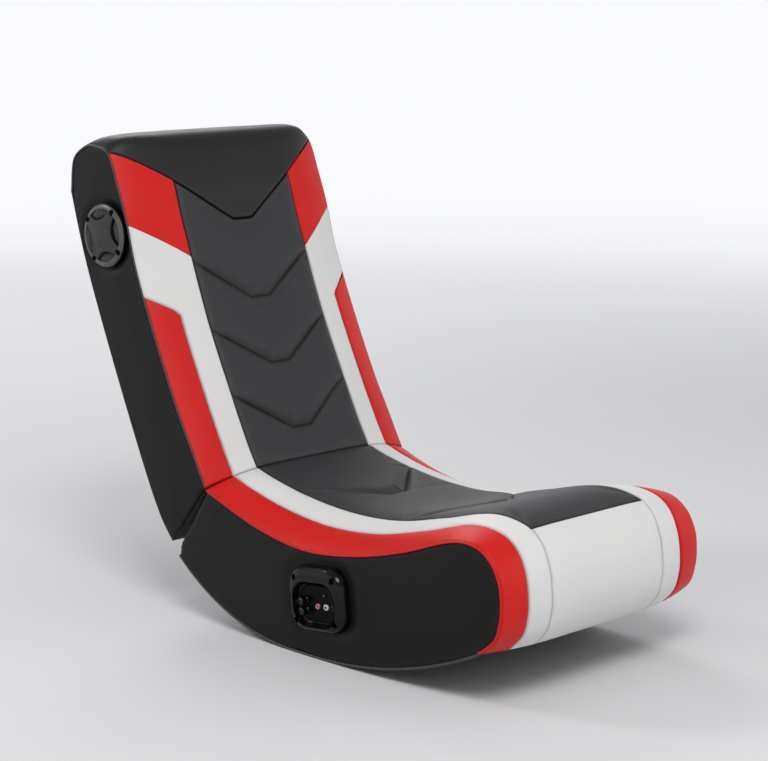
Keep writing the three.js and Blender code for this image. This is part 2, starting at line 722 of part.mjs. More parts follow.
/** A rounded rectangle's ring in Y and Z at an X, centred on zero or lower. */
function roundedRing(x, [halfY, halfZ], corner, drop = 0) {
  const ring = [];
  const radius = Math.min(corner, halfY, halfZ);
  const turns = [[1, 1, 0], [-1, 1, 90], [-1, -1, 180], [1, -1, 270]];
  for (const [signY, signZ, start] of turns) {
    for (const angle of spread(start, start + 90, 4)) {
      ring.push(new THREE.Vector3(
        x,
        signY * (halfY - radius) + radius * Math.cos(radians(angle)),
        signZ * (halfZ - radius) + radius * Math.sin(radians(angle)) - drop));
    }
  }
  return ring;
}

const [seamAbovePanel] = stretch(seatPadding.edgeLine(0), -panelSetback, -panelSetback + overrun);
const panelHeight = seamAbovePanel.y - panelDrop;

/** Puts a geometry drawn on the control panel's own axes into the side of the seat. */
function onPanel(geometry) {
  return geometry.rotateX(-radians(panelTilt)).translate(-halfWidth, -panelSetback, panelHeight);
}

/** The hole through the side for the box behind the control panel. */
function panelHole() {
  const half = panelBoxHalf.map((size) => size + panelBoxClearance);
  const depth = coverThickness + clearance + seatBoardThickness;
  return onPanel(ringSolid([
    roundedRing(-overrun, half, panelBoxCorner), roundedRing(depth + overrun, half, panelBoxCorner),
  ]));
}

for (const [side, sign] of sides) {
  const [boardLow, boardHigh] = [sign * seatBoardInner, sign * boardOuter].sort((a, b) => a - b);
  const [coverLow, coverHigh] = [sign * outerX, sign * halfWidth].sort((a, b) => a - b);
  const board = plate(seatBoardOutline, boardLow, boardHigh);
  const cover = plate(seatCoverOutline, coverLow, coverHigh);
  piece(seat, `seat_side_board_${side}`, sign < 0 ? cut(board, panelHole()) : board, 'plywood');
  piece(seat, `seat_side_cover_${side}`, sign < 0 ? cut(cover, panelHole()) : cover, 'black');
}

// Seat: control panel

const dishFloor = -clearance - panelRise + dishDepth;
const panelFront = -clearance - panelRise;
piece(seat, 'control_housing', onPanel(ringSolid([
  roundedRing(panelBoxDepth, panelBoxHalf, panelBoxCorner),
  roundedRing(-clearance, panelBoxHalf, panelBoxCorner),
  roundedRing(-clearance, panelBaseHalf, panelBaseCorner),
  roundedRing(-clearance - panelRise / 2, panelBaseHalf.map((size, i) => (size + panelFaceHalf[i]) / 2), panelBaseCorner),
  roundedRing(panelFront + panelRimRound, panelFaceHalf, panelFaceCorner),
  roundedRing(panelFront, panelFaceHalf.map((size) => size - panelRimRound / 2), panelFaceCorner),
  roundedRing(panelFront, panelDishHalf, panelDishCorner, dishDrop),
  roundedRing(dishFloor, panelFloorHalf, panelFloorCorner, dishDrop),
])), 'plastic');

const plateFront = dishFloor - clearance - facePlateThickness;
piece(seat, 'control_face_plate', onPanel(ringSolid([
  roundedRing(dishFloor - clearance, facePlateHalf, panelFloorCorner, dishDrop),
  roundedRing(plateFront, facePlateHalf, panelFloorCorner, dishDrop),
])), 'facePlate');

/** A profile turned about the panel's own axis, its heights running out of the panel, at a place on its face. */
function onPlate(profile, sidesCount, forward, up, from = plateFront - clearance) {
  return onPanel(turned(profile.map(([radius, height]) => [radius, -height]), sidesCount)
    .translate(from, -forward, up));
}

const rowUp = -dishDrop - rowDrop;
const knobs = { volume_knob: rowUp + knobSpacing, bass_knob: rowUp - knobSpacing };
for (const [name, up] of Object.entries(knobs)) {
  const skirt = onPlate([
    [0, 0], [knobRadius, 0], [knobRadius, knobHeight / 3], [knobRadius - knobPointer, knobHeight - knobPointer],
    [knobRadius - knobPointer * 2, knobHeight], [0, knobHeight],
  ], 14, -knobSetback, up);
  const pointer = onPanel(block(knobPointer * 2, knobPointer * 1.5, knobRadius,
    plateFront - clearance - knobHeight, knobSetback, up + knobRadius / 2 - knobPointer));
  piece(seat, name, join(skirt, pointer), 'plastic');
}

const jackNames = { red_jack: 'redPlastic', white_jack: 'whitePlastic', power_jack: 'plastic' };
Object.entries(jackNames).forEach(([name, finish], i) => {
  piece(seat, name, onPlate([
    [jackBore, 0], [jackRadius, 0], [jackRadius, jackHeight], [jackBore, jackHeight], [jackBore, 0],
  ], 12, jackPlaces[i], rowUp), finish);
});
piece(seat, 'power_light', onPlate([[0, 0], [lightRadius, 0], [lightRadius, lightHeight / 2], [0, lightHeight]],
  8, lightPlace[0], rowUp + lightPlace[1]), 'redPlastic');

const [screwForward, screwUp] = panelScrewPlaceShares.map((share, i) => share * panelFaceHalf[i]);
[[1, 1], [1, -1], [-1, 1], [-1, -1]].forEach(([forward, up], i) => {
  piece(seat, `panel_screw_${i + 1}`, onPlate([
    [0, 0], [panelScrewRadius, 0], [panelScrewRadius, panelScrewHeight / 2], [0, panelScrewHeight],
  ], 8, screwForward * forward, screwUp * up, panelFront - clearance), 'steel');
});

/** The amplifier's circuit board on the back of the panel's box, with its heat sink and capacitors. */
function amplifierBoard() {
  const face = panelBoxDepth + clearance;
  const board = block(circuitThickness, circuitHalf[0] * 2, circuitHalf[1] * 2, face + circuitThickness / 2, 0, 0);
  const surface = face + circuitThickness;
  const [sinkOut, sinkLong, sinkTall] = heatSink;
  const sink = block(sinkOut, sinkLong, sinkTall, surface + sinkOut / 2 - clearance, 0, circuitHalf[1] / 2);
  const cans = [-1, 0, 1].map((k) => bar(capacitorRadius, surface - clearance, surface + capacitorHeight,
    k * capacitorSpacing, -circuitHalf[1] / 2, 12));
  return onPanel(join(board, sink, ...cans));
}
piece(seat, 'amplifier_board', amplifierBoard(), 'circuit');

// Back: padding

function backRise(base) {
  const [first] = backChannelTips;
  return backChannelRise * Math.min(1, base / first);
}

/** Height of the headrest's lower seam at a distance from the middle plane. */
function headrestSeam(x) {
  const distance = Math.abs(x);
  if (distance <= centreHalf) return headrestTip + (headrestBorder - headrestTip) * armShare(x);
  return headrestBorder + ((headrestSide - headrestBorder) * (distance - centreHalf)) / (halfWidth - centreHalf);
}

const slantInset = slantGap / 2;
const padHalf = centreHalf - seamInset;
const panelInner = centreHalf + seamInset;
const centreColumns = [...across(-padHalf, padHalf, 4), -bossHalf, bossHalf].sort((a, b) => a - b);
const panelShares = [0, 0.06, 0.15, 0.5, 0.8, 1];

function backCentrePad() {
  const dip = (x) => edgeRoll(padHalf - Math.abs(x), seamRoll);
  const firstRow = backPadding.thickness(0, 0) * rollShare;
  const bases = channelBases(backChannelTips, firstRow, headrestTip, rowStep);
  const coreAt = (x) => (Math.abs(x) < padHalf - seamRoll * 2 ? padCore : 0);
  const rows = bases.map((base) => centreColumns.map((x) => ({
    t: backPlace(base + backRise(base) * armShare(x)), x, core: coreAt(x),
    depth: dip(x) + onChannel(backChannelTips, base),
  })));
  const end = [seamRoll, seamRoll / 3, 0].map((d) => centreColumns.map((x) => ({
    t: backPlace(headrestSeam(x) - slantInset - d), x,
    depth: dip(x) + edgeRoll(d, seamRoll) * (1 - dip(x) / seamRoll),
  })));
  const placeOf = (distance) => backPlace(backCentre.getPoint(0).y + distance);
  return padFrom(backPadding, [...creaseRows(backPadding, centreColumns, rows, placeOf, dip), ...end]);
}

function headrest() {
  const beside = panelShares.map((share) => panelInner + (halfWidth - panelInner) * share);
  const columns = [...beside.map((x) => -x).reverse(), ...centreColumns, ...beside];
  const seamRows = [0, seamRoll / 3, seamRoll].map((d) => columns.map((x) => ({
    t: backPlace(headrestSeam(x) + slantInset + d), x, depth: edgeRoll(d, seamRoll),
  })));
  const wrap = spread(0, 1, 11).slice(1).map((share) => columns.map((x) => {
    const start = backPlace(headrestSeam(x) + slantInset + seamRoll);
    return { t: start + (1 - start) * share, x, depth: 0 };
  }));
  return padFrom(backPadding, [...seamRows, ...wrap]);
}

/** A side panel of the back from its rows, each given by its inner end and its outer end as [x, height]. */
function backSidePanel(sign, ends, creaseStart) {
  const cells = ends.map(([[innerEnd, innerHeight], [outerEnd, outerHeight]]) => panelShares.map((share) => {
    const x = innerEnd + (outerEnd - innerEnd) * share;
    const outerRoll = outerEnd >= halfWidth ? 0 : edgeRoll(outerEnd - x, seamRoll);
    return {
      t: backPlace(innerHeight + (outerHeight - innerHeight) * share),
      x: x * sign,
      depth: Math.min(edgeRoll(x - innerEnd, seamRoll) + outerRoll, seamRoll),
    };
  }));
  if (!creaseStart) return padFrom(backPadding, cells);
  const rolls = cells[0].map(({ x }) => endRoll(backPadding.thickness(0, x)));
  const rolled = rolls[0].map((_, k) => cells[0].map((cell, c) => ({
    ...cell, t: backPlace(backCentre.getPoint(0).y + rolls[c][k][0]), depth: cell.depth + rolls[c][k][1],
  })));
  return padFrom(backPadding, [...rolled, ...cells.slice(1)]);
}

/** Rows that rise evenly between two pairs of ends. */
function risingEnds([fromInner, fromOuter], [toInner, toOuter], count) {
  const mix = (a, b, share) => a.map((value, i) => value + (b[i] - value) * share);
  return spread(0, 1, count).map((share) => [mix(fromInner, toInner, share), mix(fromOuter, toOuter, share)]);
}

const whiteOuter = borderHalf - seamInset;
const redInner = borderHalf + seamInset;
const flareX = borderHalf + flareCorner;
const flareHeight = whiteFlare + flareCornerRise;
const flareMiddle = (whiteFlareSide + whiteTopSide) / 2;
const innerAt = (share) => whiteFlare + (whiteTop - slantInset - whiteFlare) * share;
const sideSlant = slantInset + slantGap;

const whiteEnds = [
  ...risingEnds([[panelInner, 0], [whiteOuter, 0]], [[panelInner, whiteFlare - flareCorner], [whiteOuter, whiteFlare]], 5),
  [[panelInner, innerAt(0.05)], [flareX, flareHeight + sideSlant]],
  [[panelInner, innerAt(0.45)], [halfWidth, whiteFlareSide + sideSlant]],
  [[panelInner, innerAt(0.72)], [halfWidth, flareMiddle]],
  [[panelInner, innerAt(1)], [halfWidth, whiteTopSide - slantInset]],
];
const redLowerEnds = [
  ...risingEnds([[redInner, 0], [halfWidth, 0]], [[redInner, whiteFlare - slantInset], [halfWidth, whiteFlare + flareCorner]], 5),
  [[flareX + slantInset, flareHeight - slantInset], [halfWidth, whiteFlareSide - slantInset]],
];
const redUpperEnds = risingEnds(
  [[panelInner, whiteTop + slantInset], [halfWidth, whiteTopSide + slantInset]],
  [[panelInner, headrestBorder - slantInset], [halfWidth, headrestSide - slantInset]], 4);

piece(back, 'back_centre_pad', backCentrePad(), 'charcoal');
piece(back, 'headrest', headrest(), 'black');
for (const [side, sign] of sides) {
  piece(back, `back_white_panel_${side}`, backSidePanel(sign, whiteEnds, true), 'white');
  piece(back, `back_red_lower_${side}`, backSidePanel(sign, redLowerEnds, true), 'red');
  piece(back, `back_red_upper_${side}`, backSidePanel(sign, redUpperEnds, false), 'red');
}

// Back: frame

/** The rear line of the back, downwards, and the same line moved inwards. */
const rearStart = along(backEdge.getPoint(1), backEdge.getTangent(1), clearance);
const rearLine = [rearStart, ...fromBackShares(backRearShares).slice(1), backEnd(backEndFall)];
const rearInside = (depth) => {
  const line = offsetLine(rearLine, -depth);
  line[0] = along(rearStart, backPadding.inward(1), depth);
  line[line.length - 1] = backEnd(backEndFall - depth);
  return line;
};
piece(back, 'rear_cover', plate([...rearLine, ...rearInside(rearCoverThickness).reverse()],
  -halfWidth + clearance, halfWidth - clearance), 'black');

const backInner = rearInside(rearCoverThickness + clearance);
const backBoardInner = boardOuter - backBoardThickness;
const betweenBackBoards = backBoardInner - clearance;

/** Outline of a side of the back: a line under the padding, round the end of the headrest, and the rear line. */
function backSideOutline(line) {
  const turn = along(line[line.length - 1], backEdge.getTangent(1), clearance);
  return [...line, turn, ...backInner];
}

const backBoardOutline = backSideOutline(backPadding.bedLine(clearance));
const backCoverOutline = backSideOutline(backPadding.edgeLine(seamLip + clearance));

/** A board bent along the bed of the back's padding, between two places on its lines. */
function bentBoard(depth, thickness, from, to) {
  const top = backPadding.bedLine(depth, from, to);
  const low = backPadding.bedLine(depth + thickness, from, to);
  return plate([...top, ...low.reverse()], -betweenBackBoards, betweenBackBoards);
}

const shoulder = backPadding.stations.find((t) => t >= backPlace(headrestSide));
const shoulderGap = clearance / backHeight;
const railPlaces = [backPlace(whiteFlare), backPlace(whiteFlareSide + backRailThickness)];
piece(back, 'back_support', bentBoard(clearance, supportThickness, 0, shoulder - shoulderGap), 'plywood');
piece(back, 'back_top_board', bentBoard(clearance, backRailThickness, shoulder, 1), 'plywood');
piece(back, 'back_cross_rail', bentBoard(clearance * 2 + supportThickness, backRailThickness, ...railPlaces), 'plywood');

const bottomBoardTop = backEdgeFall + padLip + supportThickness + clearance * 2;
const bottomBoardEnd = backEndFall - rearCoverThickness - bottomBoardSetback;
piece(back, 'back_bottom_board', plate([
  backEnd(bottomBoardTop), backEnd(bottomBoardEnd),
  backEnd(bottomBoardEnd, backRailThickness), backEnd(bottomBoardTop, backRailThickness),
], -betweenBackBoards, betweenBackBoards), 'plywood');

// Back: sides and speakers

/** A speaker part's profile of [radius, distance out of the side] pairs, turned at the speaker's place. */
function onSpeaker(profile, from, sign) {
  const body = turned(profile, 20);
  if (sign < 0) body.rotateZ(Math.PI);
  return body.translate(sign * from, speakerSetback, speakerHeight);
}

const domePoints = (radius, rise, base) => spread(0, 1, 3).map((share) => [
  radius * (1 - share), base + rise * (1 - (1 - share) ** 2),
]);
const grilleProfile = [
  ...domePoints(grilleRadius - grilleRim, grilleRise - grilleWall - grilleRim, grilleRim).reverse(),
  [grilleRadius - grilleRim, clearance],
  [grilleRadius, clearance],
  ...domePoints(grilleRadius, grilleRise - grilleRim, grilleRim),
];
const driverProfile = [
  [0, -basketDepth - magnetDepth], [magnetRadius, -basketDepth - magnetDepth], [magnetRadius, -basketDepth],
  [basketRadius, -speakerFlangeThickness], [basketRadius, clearance],
  [speakerFlangeRadius, clearance], [speakerFlangeRadius, clearance + speakerFlangeThickness],
  [basketRadius, clearance + speakerFlangeThickness], [dustCapRadius, -coneDepth],
  [dustCapRadius / 2, -coneDepth + dustCapRise * 0.75], [0, -coneDepth + dustCapRise],
];

/** A round hole through a side of the back at the speaker's place. */
function speakerHole(radius, sign) {
  const [low, high] = [sign * (backBoardInner - overrun), sign * (halfWidth + overrun)].sort((a, b) => a - b);
  return bar(radius, low, high, speakerSetback, speakerHeight, 24);
}

for (const [side, sign] of sides) {
  const [boardLow, boardHigh] = [sign * backBoardInner, sign * boardOuter].sort((a, b) => a - b);
  const [coverLow, coverHigh] = [sign * outerX, sign * halfWidth].sort((a, b) => a - b);
  piece(back, `back_side_board_${side}`, cut(plate(backBoardOutline, boardLow, boardHigh),
    speakerHole(basketRadius + clearance * 2, sign)), 'plywood');
  piece(back, `back_side_cover_${side}`, cut(plate(backCoverOutline, coverLow, coverHigh),
    speakerHole(speakerFlangeRadius + clearance * 2, sign)), 'black');
  piece(back, `speaker_${side}`, onSpeaker(driverProfile, boardOuter, sign), 'paperCone');
  piece(back, `speaker_grille_${side}`, onSpeaker(grilleProfile, halfWidth, sign), 'plastic');
}

// Hinges

/** A hinge leaf: its plate, its knuckles on the fold axis and room for the other leaf's knuckles. */
function hingeLeaf(middle, endAt, axis, ownsEven) {
  const start = middle - hingeLength / 2;
  const pitch = hingeLength / knuckleCount;
  const leafPlate = plate([
    endAt(0, -clearance), endAt(leafReach, -clearance),
    endAt(leafReach, -clearance - leafThickness), endAt(0, -clearance - leafThickness),
  ], start, start + hingeLength);
  const segments = Array.from({ length: knuckleCount }, (_, i) => i);
  const owns = (i) => (i % 2 === 0) === ownsEven;
  const knuckles = segments.filter(owns).map((i) => bar(knuckleRadius, start + i * pitch + clearance / 2,
    start + (i + 1) * pitch - clearance / 2, axis.x, axis.y));
  const rooms = segments.filter((i) => !owns(i)).map((i) => bar(knuckleRadius + clearance,
    start + i * pitch - clearance / 2, start + (i + 1) * pitch + clearance / 2, axis.x, axis.y));
  const bore = bar(hingePinBore, start - overrun, start + hingeLength + overrun, axis.x, axis.y);
  return cut(join(cut(leafPlate, ...rooms), ...knuckles), bore);
}

for (const [side, sign] of sides) {
  const middle = sign * hingePlace;
  const [low, high] = [middle - hingeLength / 2, middle + hingeLength / 2];
  piece(seat, `hinge_seat_leaf_${side}`, hingeLeaf(middle, seatEnd, pivot, true), 'steel');
  piece(back, `hinge_back_leaf_${side}`, hingeLeaf(middle, backEnd, point(0, 0), false), 'steel');
  piece(seat, `hinge_pin_${side}`, join(
    bar(hingePinRadius, low - pinHeadLength, high + pinHeadLength, pivot.x, pivot.y),
    bar(pinHeadRadius, low - clearance - pinHeadLength, low - clearance, pivot.x, pivot.y),
    bar(pinHeadRadius, high + clearance, high + clearance + pinHeadLength, pivot.x, pivot.y),
  ), 'steel');
}

// Leads inside the chair

/** A round lead along points. */
function lead(route, steps) {
  const section = new THREE.Shape(spread(0, 360, 6).slice(1).map((angle) => point(
    leadRadius * Math.cos(radians(angle)), leadRadius * Math.sin(radians(angle)))));
  return new THREE.ExtrudeGeometry(section, {
    steps, bevelEnabled: false, extrudePath: new THREE.CatmullRomCurve3(route.map((p) => new THREE.Vector3(...p))),
  });
}

const boardFace = panelBoxDepth + circuitThickness + clearance * 2;
/** A point on the control panel's own axes, in the seat's. */
const panelPoint = (inwards, rearwards, up) => new THREE.Vector3(inwards, rearwards, up)
  .applyAxisAngle(new THREE.Vector3(1, 0, 0), -radians(panelTilt))
  .add(new THREE.Vector3(-halfWidth, -panelSetback, panelHeight)).toArray();
const leadEnd = seatEnd(leadExitFall, rearBoardThickness + clearance);
const beforeEnd = seatEnd(leadExitFall, rearBoardThickness + leadStraight);
const leadHole = ribHole(ribShares.seat_rear_rib);
/** A point of the route, from the middle of the rear rib's hole. */
const fromHole = (across, forward, up) => leadHole.clone().add(new THREE.Vector3(across, -forward, up)).toArray();
piece(seat, 'seat_lead', lead([
  panelPoint(boardFace, ...leadStart), panelPoint(boardFace + leadStraight / 2, ...leadStart),
  fromHole(-75, 57, -10), fromHole(-25, 42, -2), fromHole(0, 22, 0), fromHole(0, 0, 0), fromHole(0, -38, 0),
  [-ribHoleAcross, beforeEnd.x, beforeEnd.y], [-ribHoleAcross, leadEnd.x, leadEnd.y],
], 26), 'black');

const magnetBack = boardOuter - basketDepth - magnetDepth - clearance;
for (const [side, sign] of sides) {
  const start = backEnd(leadExitFall, backRailThickness + clearance);
  const above = backEnd(leadExitFall, backRailThickness + leadStraight);
  piece(back, `speaker_lead_${side}`, lead([
    [sign * 50, start.x, start.y], [sign * 50, above.x, above.y], [sign * 70, 112, 120], [sign * 95, 118, 230],
    [sign * 110, 112, 330], [sign * 120, 98, 395], [sign * 140, speakerSetback, speakerHeight],
    [sign * magnetBack, speakerSetback, speakerHeight],
  ], 26), 'black');
}

// Assembly: the origin is on the ground at the middle of the flat foot

back.position.set(0, 0, pivotHeight);
back.rotation.x = -radians(leanAngle);

const chair = new THREE.Group();
chair.add(seat, back);
chair.position.set(0, (footRear + footFront) / 2, 0);
chair.updateMatrixWorld(true);

export default chair;
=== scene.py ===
"""A folding gaming rocker chair: its upholstery, trim, speakers and control panel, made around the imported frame.

Sizes are in millimetres in the chair's own terms and become metres when a mesh is made. The seat is drawn in
Y and Z from the fold axis. The back is drawn upright, square to itself and along itself, and then leaned.
"""

import json
import logging
import math
from dataclasses import dataclass, field
from enum import Enum
from typing import Callable, Iterable, Optional, Sequence

import bmesh
import bpy
import numpy as np
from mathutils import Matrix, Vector, noise
from mathutils.geometry import delaunay_2d_cdt

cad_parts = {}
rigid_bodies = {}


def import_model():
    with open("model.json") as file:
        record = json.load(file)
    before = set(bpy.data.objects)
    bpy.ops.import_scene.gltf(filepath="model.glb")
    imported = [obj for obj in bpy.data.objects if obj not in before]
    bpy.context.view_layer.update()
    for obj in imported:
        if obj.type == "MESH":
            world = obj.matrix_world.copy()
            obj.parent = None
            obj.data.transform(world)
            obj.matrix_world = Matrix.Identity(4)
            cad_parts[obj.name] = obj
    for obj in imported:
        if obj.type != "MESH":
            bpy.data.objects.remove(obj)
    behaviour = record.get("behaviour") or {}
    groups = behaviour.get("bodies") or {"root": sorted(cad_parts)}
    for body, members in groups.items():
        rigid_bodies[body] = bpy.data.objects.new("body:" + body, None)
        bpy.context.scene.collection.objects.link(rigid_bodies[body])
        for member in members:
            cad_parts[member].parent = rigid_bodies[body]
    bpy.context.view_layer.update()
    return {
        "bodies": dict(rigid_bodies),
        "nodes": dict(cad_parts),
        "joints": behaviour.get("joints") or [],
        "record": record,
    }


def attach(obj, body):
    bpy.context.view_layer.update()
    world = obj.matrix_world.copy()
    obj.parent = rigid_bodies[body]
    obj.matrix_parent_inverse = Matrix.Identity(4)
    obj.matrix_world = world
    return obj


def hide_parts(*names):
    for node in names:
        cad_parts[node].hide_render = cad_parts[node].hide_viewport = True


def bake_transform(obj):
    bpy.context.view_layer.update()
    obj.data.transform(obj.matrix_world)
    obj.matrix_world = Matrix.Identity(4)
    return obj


LOG = logging.getLogger("rocker_chair")
MM = 0.001
Points = np.ndarray


class Side(Enum):
    """The two sides of the chair; left is the -X side, which carries the control panel."""

    LEFT = -1
    RIGHT = 1

    @property
    def word(self) -> str:
        """The side's name as it stands in a node's name."""
        return self.name.lower()


class Slot(Enum):
    """The record's material slots."""

    BLACK = "black_leatherette"
    CHARCOAL = "charcoal_leatherette"
    WHITE = "white_leatherette"
    RED = "red_leatherette"
    PLYWOOD = "plywood"
    STEEL = "steel"
    PLASTIC = "black_plastic"
    PLATE = "panel_plate"
    RED_PLASTIC = "red_plastic"
    WHITE_PLASTIC = "white_plastic"
    CONE = "speaker_cone"
    CIRCUIT = "circuit_board"
    RUBBER = "lead_rubber"


class Body(Enum):
    """The frame's moving bodies."""

    SEAT = "seat"
    BACK = "back"
    VOLUME = "volume_knob"
    BASS = "bass_knob"


@dataclass(frozen=True)
class ChairSizes:
    """The chair's driving sizes, as its frame was built."""

    half_width: float = 215.0
    centre_half: float = 122.0
    border_half: float = 167.0
    flat_half: float = 60.0
    crown_power: float = 2.6
    pivot_height: float = 235.5
    pivot_forward: float = 205.0
    seat_reach: float = 616.0
    back_height: float = 580.0
    back_depth: float = 160.0
    lean: float = math.radians(23.7)
    foot_rear: float = 185.0
    foot_front: float = 225.0
    rear_radius: float = 416.0
    front_radius: float = 765.0
    rocker_rear: float = 82.4
    rocker_front: float = 561.3
    fold_slope: float = math.radians(-53.0)
    fold_spread: float = math.radians(1.7)
    fold_half_gap: float = 3.6
    seat_pad_rise: float = 8.1
    seat_edge_fall: float = 22.0
    back_pad_rise: float = 6.4
    back_edge_fall: float = 21.6
    back_end_fall: float = 152.0
    seat_end_fall: float = 138.0
    clearance: float = 0.3
    seam_gap: float = 0.3
    slant_gap: float = 1.2
    pad_lip: float = 8.0
    seam_lip: float = 3.0
    cover_thickness: float = 5.5
    bottom_thickness: float = 2.5

    @property
    def cover_inside(self) -> float:
        """Middle plane to the inner face of a side cover."""
        return self.half_width - self.cover_thickness - self.clearance


@dataclass(frozen=True)
class Chart:
    """Where the seams and the sewn channels lie: distances along the seat, and heights along the back."""

    seat_tips: tuple[float, ...] = (180.0, 405.0)
    seat_rise: float = 90.0
    front_seam: float = 575.0
    back_tips: tuple[float, ...] = (57.0, 167.0, 279.0)
    back_rise: float = 68.0
    headrest_tip: float = 409.0
    headrest_border: float = 479.0
    headrest_side: float = 542.0
    white_top: float = 354.0
    white_top_side: float = 422.0
    white_flare: float = 266.0
    flare_corner: float = 5.0
    flare_rise: float = 6.0
    flare_side: float = 304.0
    boss_half: float = 20.0


SIZES = ChairSizes()
CHART = Chart()

# Outlines of the padding as shares of the seat's reach and of the fold axis's height
SEAT_CENTRE_SHARES = (
    (-0.175, 0.934), (-0.347, 0.892), (-0.513, 0.909), (-0.67, 0.998), (-0.813, 1.083),
    (-0.911, 1.062), (-0.963, 0.977), (-0.99, 0.828), (-1.0, 0.658), (-0.998, 0.56),
    (-0.984, 0.44), (-0.945, 0.325),
)
SEAT_EDGE_SHARES = (
    (-0.166, 0.764), (-0.338, 0.696), (-0.505, 0.739), (-0.664, 0.841), (-0.815, 0.977),
    (-0.896, 0.989), (-0.946, 0.917), (-0.974, 0.794), (-0.981, 0.671), (-0.978, 0.56),
    (-0.962, 0.44), (-0.915, 0.335),
)
# The same for the back, as shares of its depth and of its height
BACK_CENTRE_SHARES = (
    (0.006, 0.103), (0.027, 0.209), (0.058, 0.412), (0.033, 0.598), (0.009, 0.731), (-0.023, 0.826),
    (-0.011, 0.934), (0.144, 0.981), (0.381, 0.998), (0.663, 0.986), (0.894, 0.907),
)
BACK_EDGE_SHARES = (
    (0.165, 0.098), (0.21, 0.217), (0.235, 0.412), (0.228, 0.602), (0.168, 0.731), (0.15, 0.834),
    (0.153, 0.934), (0.3, 0.972), (0.475, 0.99), (0.719, 0.976), (0.894, 0.9),
)
BACK_REAR_SHARES = ((0.894, 0.9), (0.975, 0.69), (0.99, 0.4), (0.97, 0.11), (0.93, -0.035))


# Small helpers


def smooth_step(share: Points) -> Points:
    """An even rise from 0 to 1 with level ends.

    Args:
        share: Values, taken as 0 below 0 and as 1 above 1.

    Returns:
        The eased values.
    """
    held = np.clip(share, 0.0, 1.0)
    return held * held * (3.0 - 2.0 * held)


def edge_roll(distance: Points, radius: float) -> Points:
    """How far a rounded edge lies below its surface.

    Args:
        distance: Distance from the edge, from 0.
        radius: Radius of the rounding.

    Returns:
        The depth, which is the radius at the edge and 0 past the rounding.
    """
    left = np.clip(radius - np.asarray(distance, float), 0.0, radius)
    return radius - np.sqrt(radius * radius - left * left)


def spaced(low: float, high: float, step: float, stops: Iterable[float] = (), fine: Sequence[float] = ()) -> Points:
    """Places from low to high, evenly spaced but for a fixed pattern of close places beside each stop.

    Args:
        low: First place.
        high: Last place.
        step: Longest spacing.
        stops: Places that get close neighbours.
        fine: Distances of those neighbours from their stop, from 0.

    Returns:
        The places, rising.
    """
    close = sorted({round(s + k * d, 4) for s in stops for d in fine for k in (-1, 1) if low <= s + k * d <= high})
    marks = sorted({low, high, *close})
    places = [marks[0]]
    for mark in marks[1:]:
        count = max(1, math.ceil((mark - places[-1]) / step - 1e-6))
        start = places[-1]
        places.extend(start + (mark - start) * (k + 1) / count for k in range(count))
    return np.array(places)


def offset_line(line: Points, distance: float) -> Points:
    """A polyline moved sideways.

    Args:
        line: Its points.
        distance: How far; a positive distance moves it to the left of its direction.

    Returns:
        The moved points.
    """
    before = np.vstack([line[:1], line[:-1]])
    after = np.vstack([line[1:], line[-1:]])
    run = after - before
    run = run / np.linalg.norm(run, axis=1)[:, None]
    return line + np.column_stack([-run[:, 1], run[:, 0]]) * distance


def distance_to_lines(points: Points, lines: Sequence[Points]) -> Points:
    """Distance from each point to the nearest of some polylines.

    Args:
        points: Points in a plane, one a row.
        lines: Polylines in that plane.

    Returns:
        One distance a point.
    """
    nearest = np.full(len(points), np.inf)
    for line in lines:
        start, run = line[:-1], np.diff(line, axis=0)
        long = np.maximum((run * run).sum(1), 1e-12)
        for first in range(0, len(points), 4000):
            part = points[first:first + 4000]
            to = part[:, None, :] - start[None]
            share = np.clip((to * run).sum(2) / long, 0, 1)
            gap = np.linalg.norm(to - share[..., None] * run, axis=2).min(1)
            nearest[first:first + 4000] = np.minimum(nearest[first:first + 4000], gap)
    return nearest


# The chair's curves


class Spline:
    """A smooth curve through points, with places from 0 to 1 that share its points evenly."""

    def __init__(self, points: Sequence[Sequence[float]]) -> None:
        """Keeps the points and measures the curve.

        Args:
            points: The points that it passes through.
        """
        self.points = np.array(points, float)
        self.places = np.linspace(0.0, 1.0, 2001)
        steps = np.diff(self.at(self.places), axis=0)
        self.lengths = np.concatenate([[0.0], np.cumsum(np.hypot(steps[:, 0], steps[:, 1]))])

    def at(self, place: Points) -> Points:
        """The curve's points at some places.

        Args:
            place: Places from 0 to 1, in an array of any shape.

        Returns:
            The points, with one more axis.
        """
        last = len(self.points) - 1
        scaled = np.clip(np.asarray(place, float), 0.0, 1.0) * last
        first = np.minimum(scaled.astype(int), last - 1)
        share = (scaled - first)[..., None]
        p0 = self.points[np.maximum(first - 1, 0)]
        p1 = self.points[first]
        p2 = self.points[first + 1]
        p3 = self.points[np.minimum(first + 2, last)]
        slope1 = (p2 - p0) / 2
        slope2 = (p3 - p1) / 2
        cubic = (2 * p1 - 2 * p2 + slope1 + slope2) * share ** 3
        return cubic + (3 * (p2 - p1) - 2 * slope1 - slope2) * share ** 2 + slope1 * share + p1

    def direction(self, place: Points) -> Points:
        """Unit tangents at some places."""
        near = 1e-4
        run = self.at(np.clip(np.asarray(place) + near, 0, 1)) - self.at(np.clip(np.asarray(place) - near, 0, 1))
        return run / np.linalg.norm(run, axis=-1, keepdims=True)

    def place_of_length(self, distance: Points) -> Points:
        """Places at some distances along the curve."""
        return np.interp(distance, self.lengths, self.places)


def gap_axes(slope: float) -> tuple[Points, Points]:
    """The fold gap's directions.

    Args:
        slope: Its slope in radians.

    Returns:
        A unit vector down along the gap, and one square to it towards the back.
    """
    down = np.array([math.cos(slope), math.sin(slope)])
    return down, np.array([-down[1], down[0]])


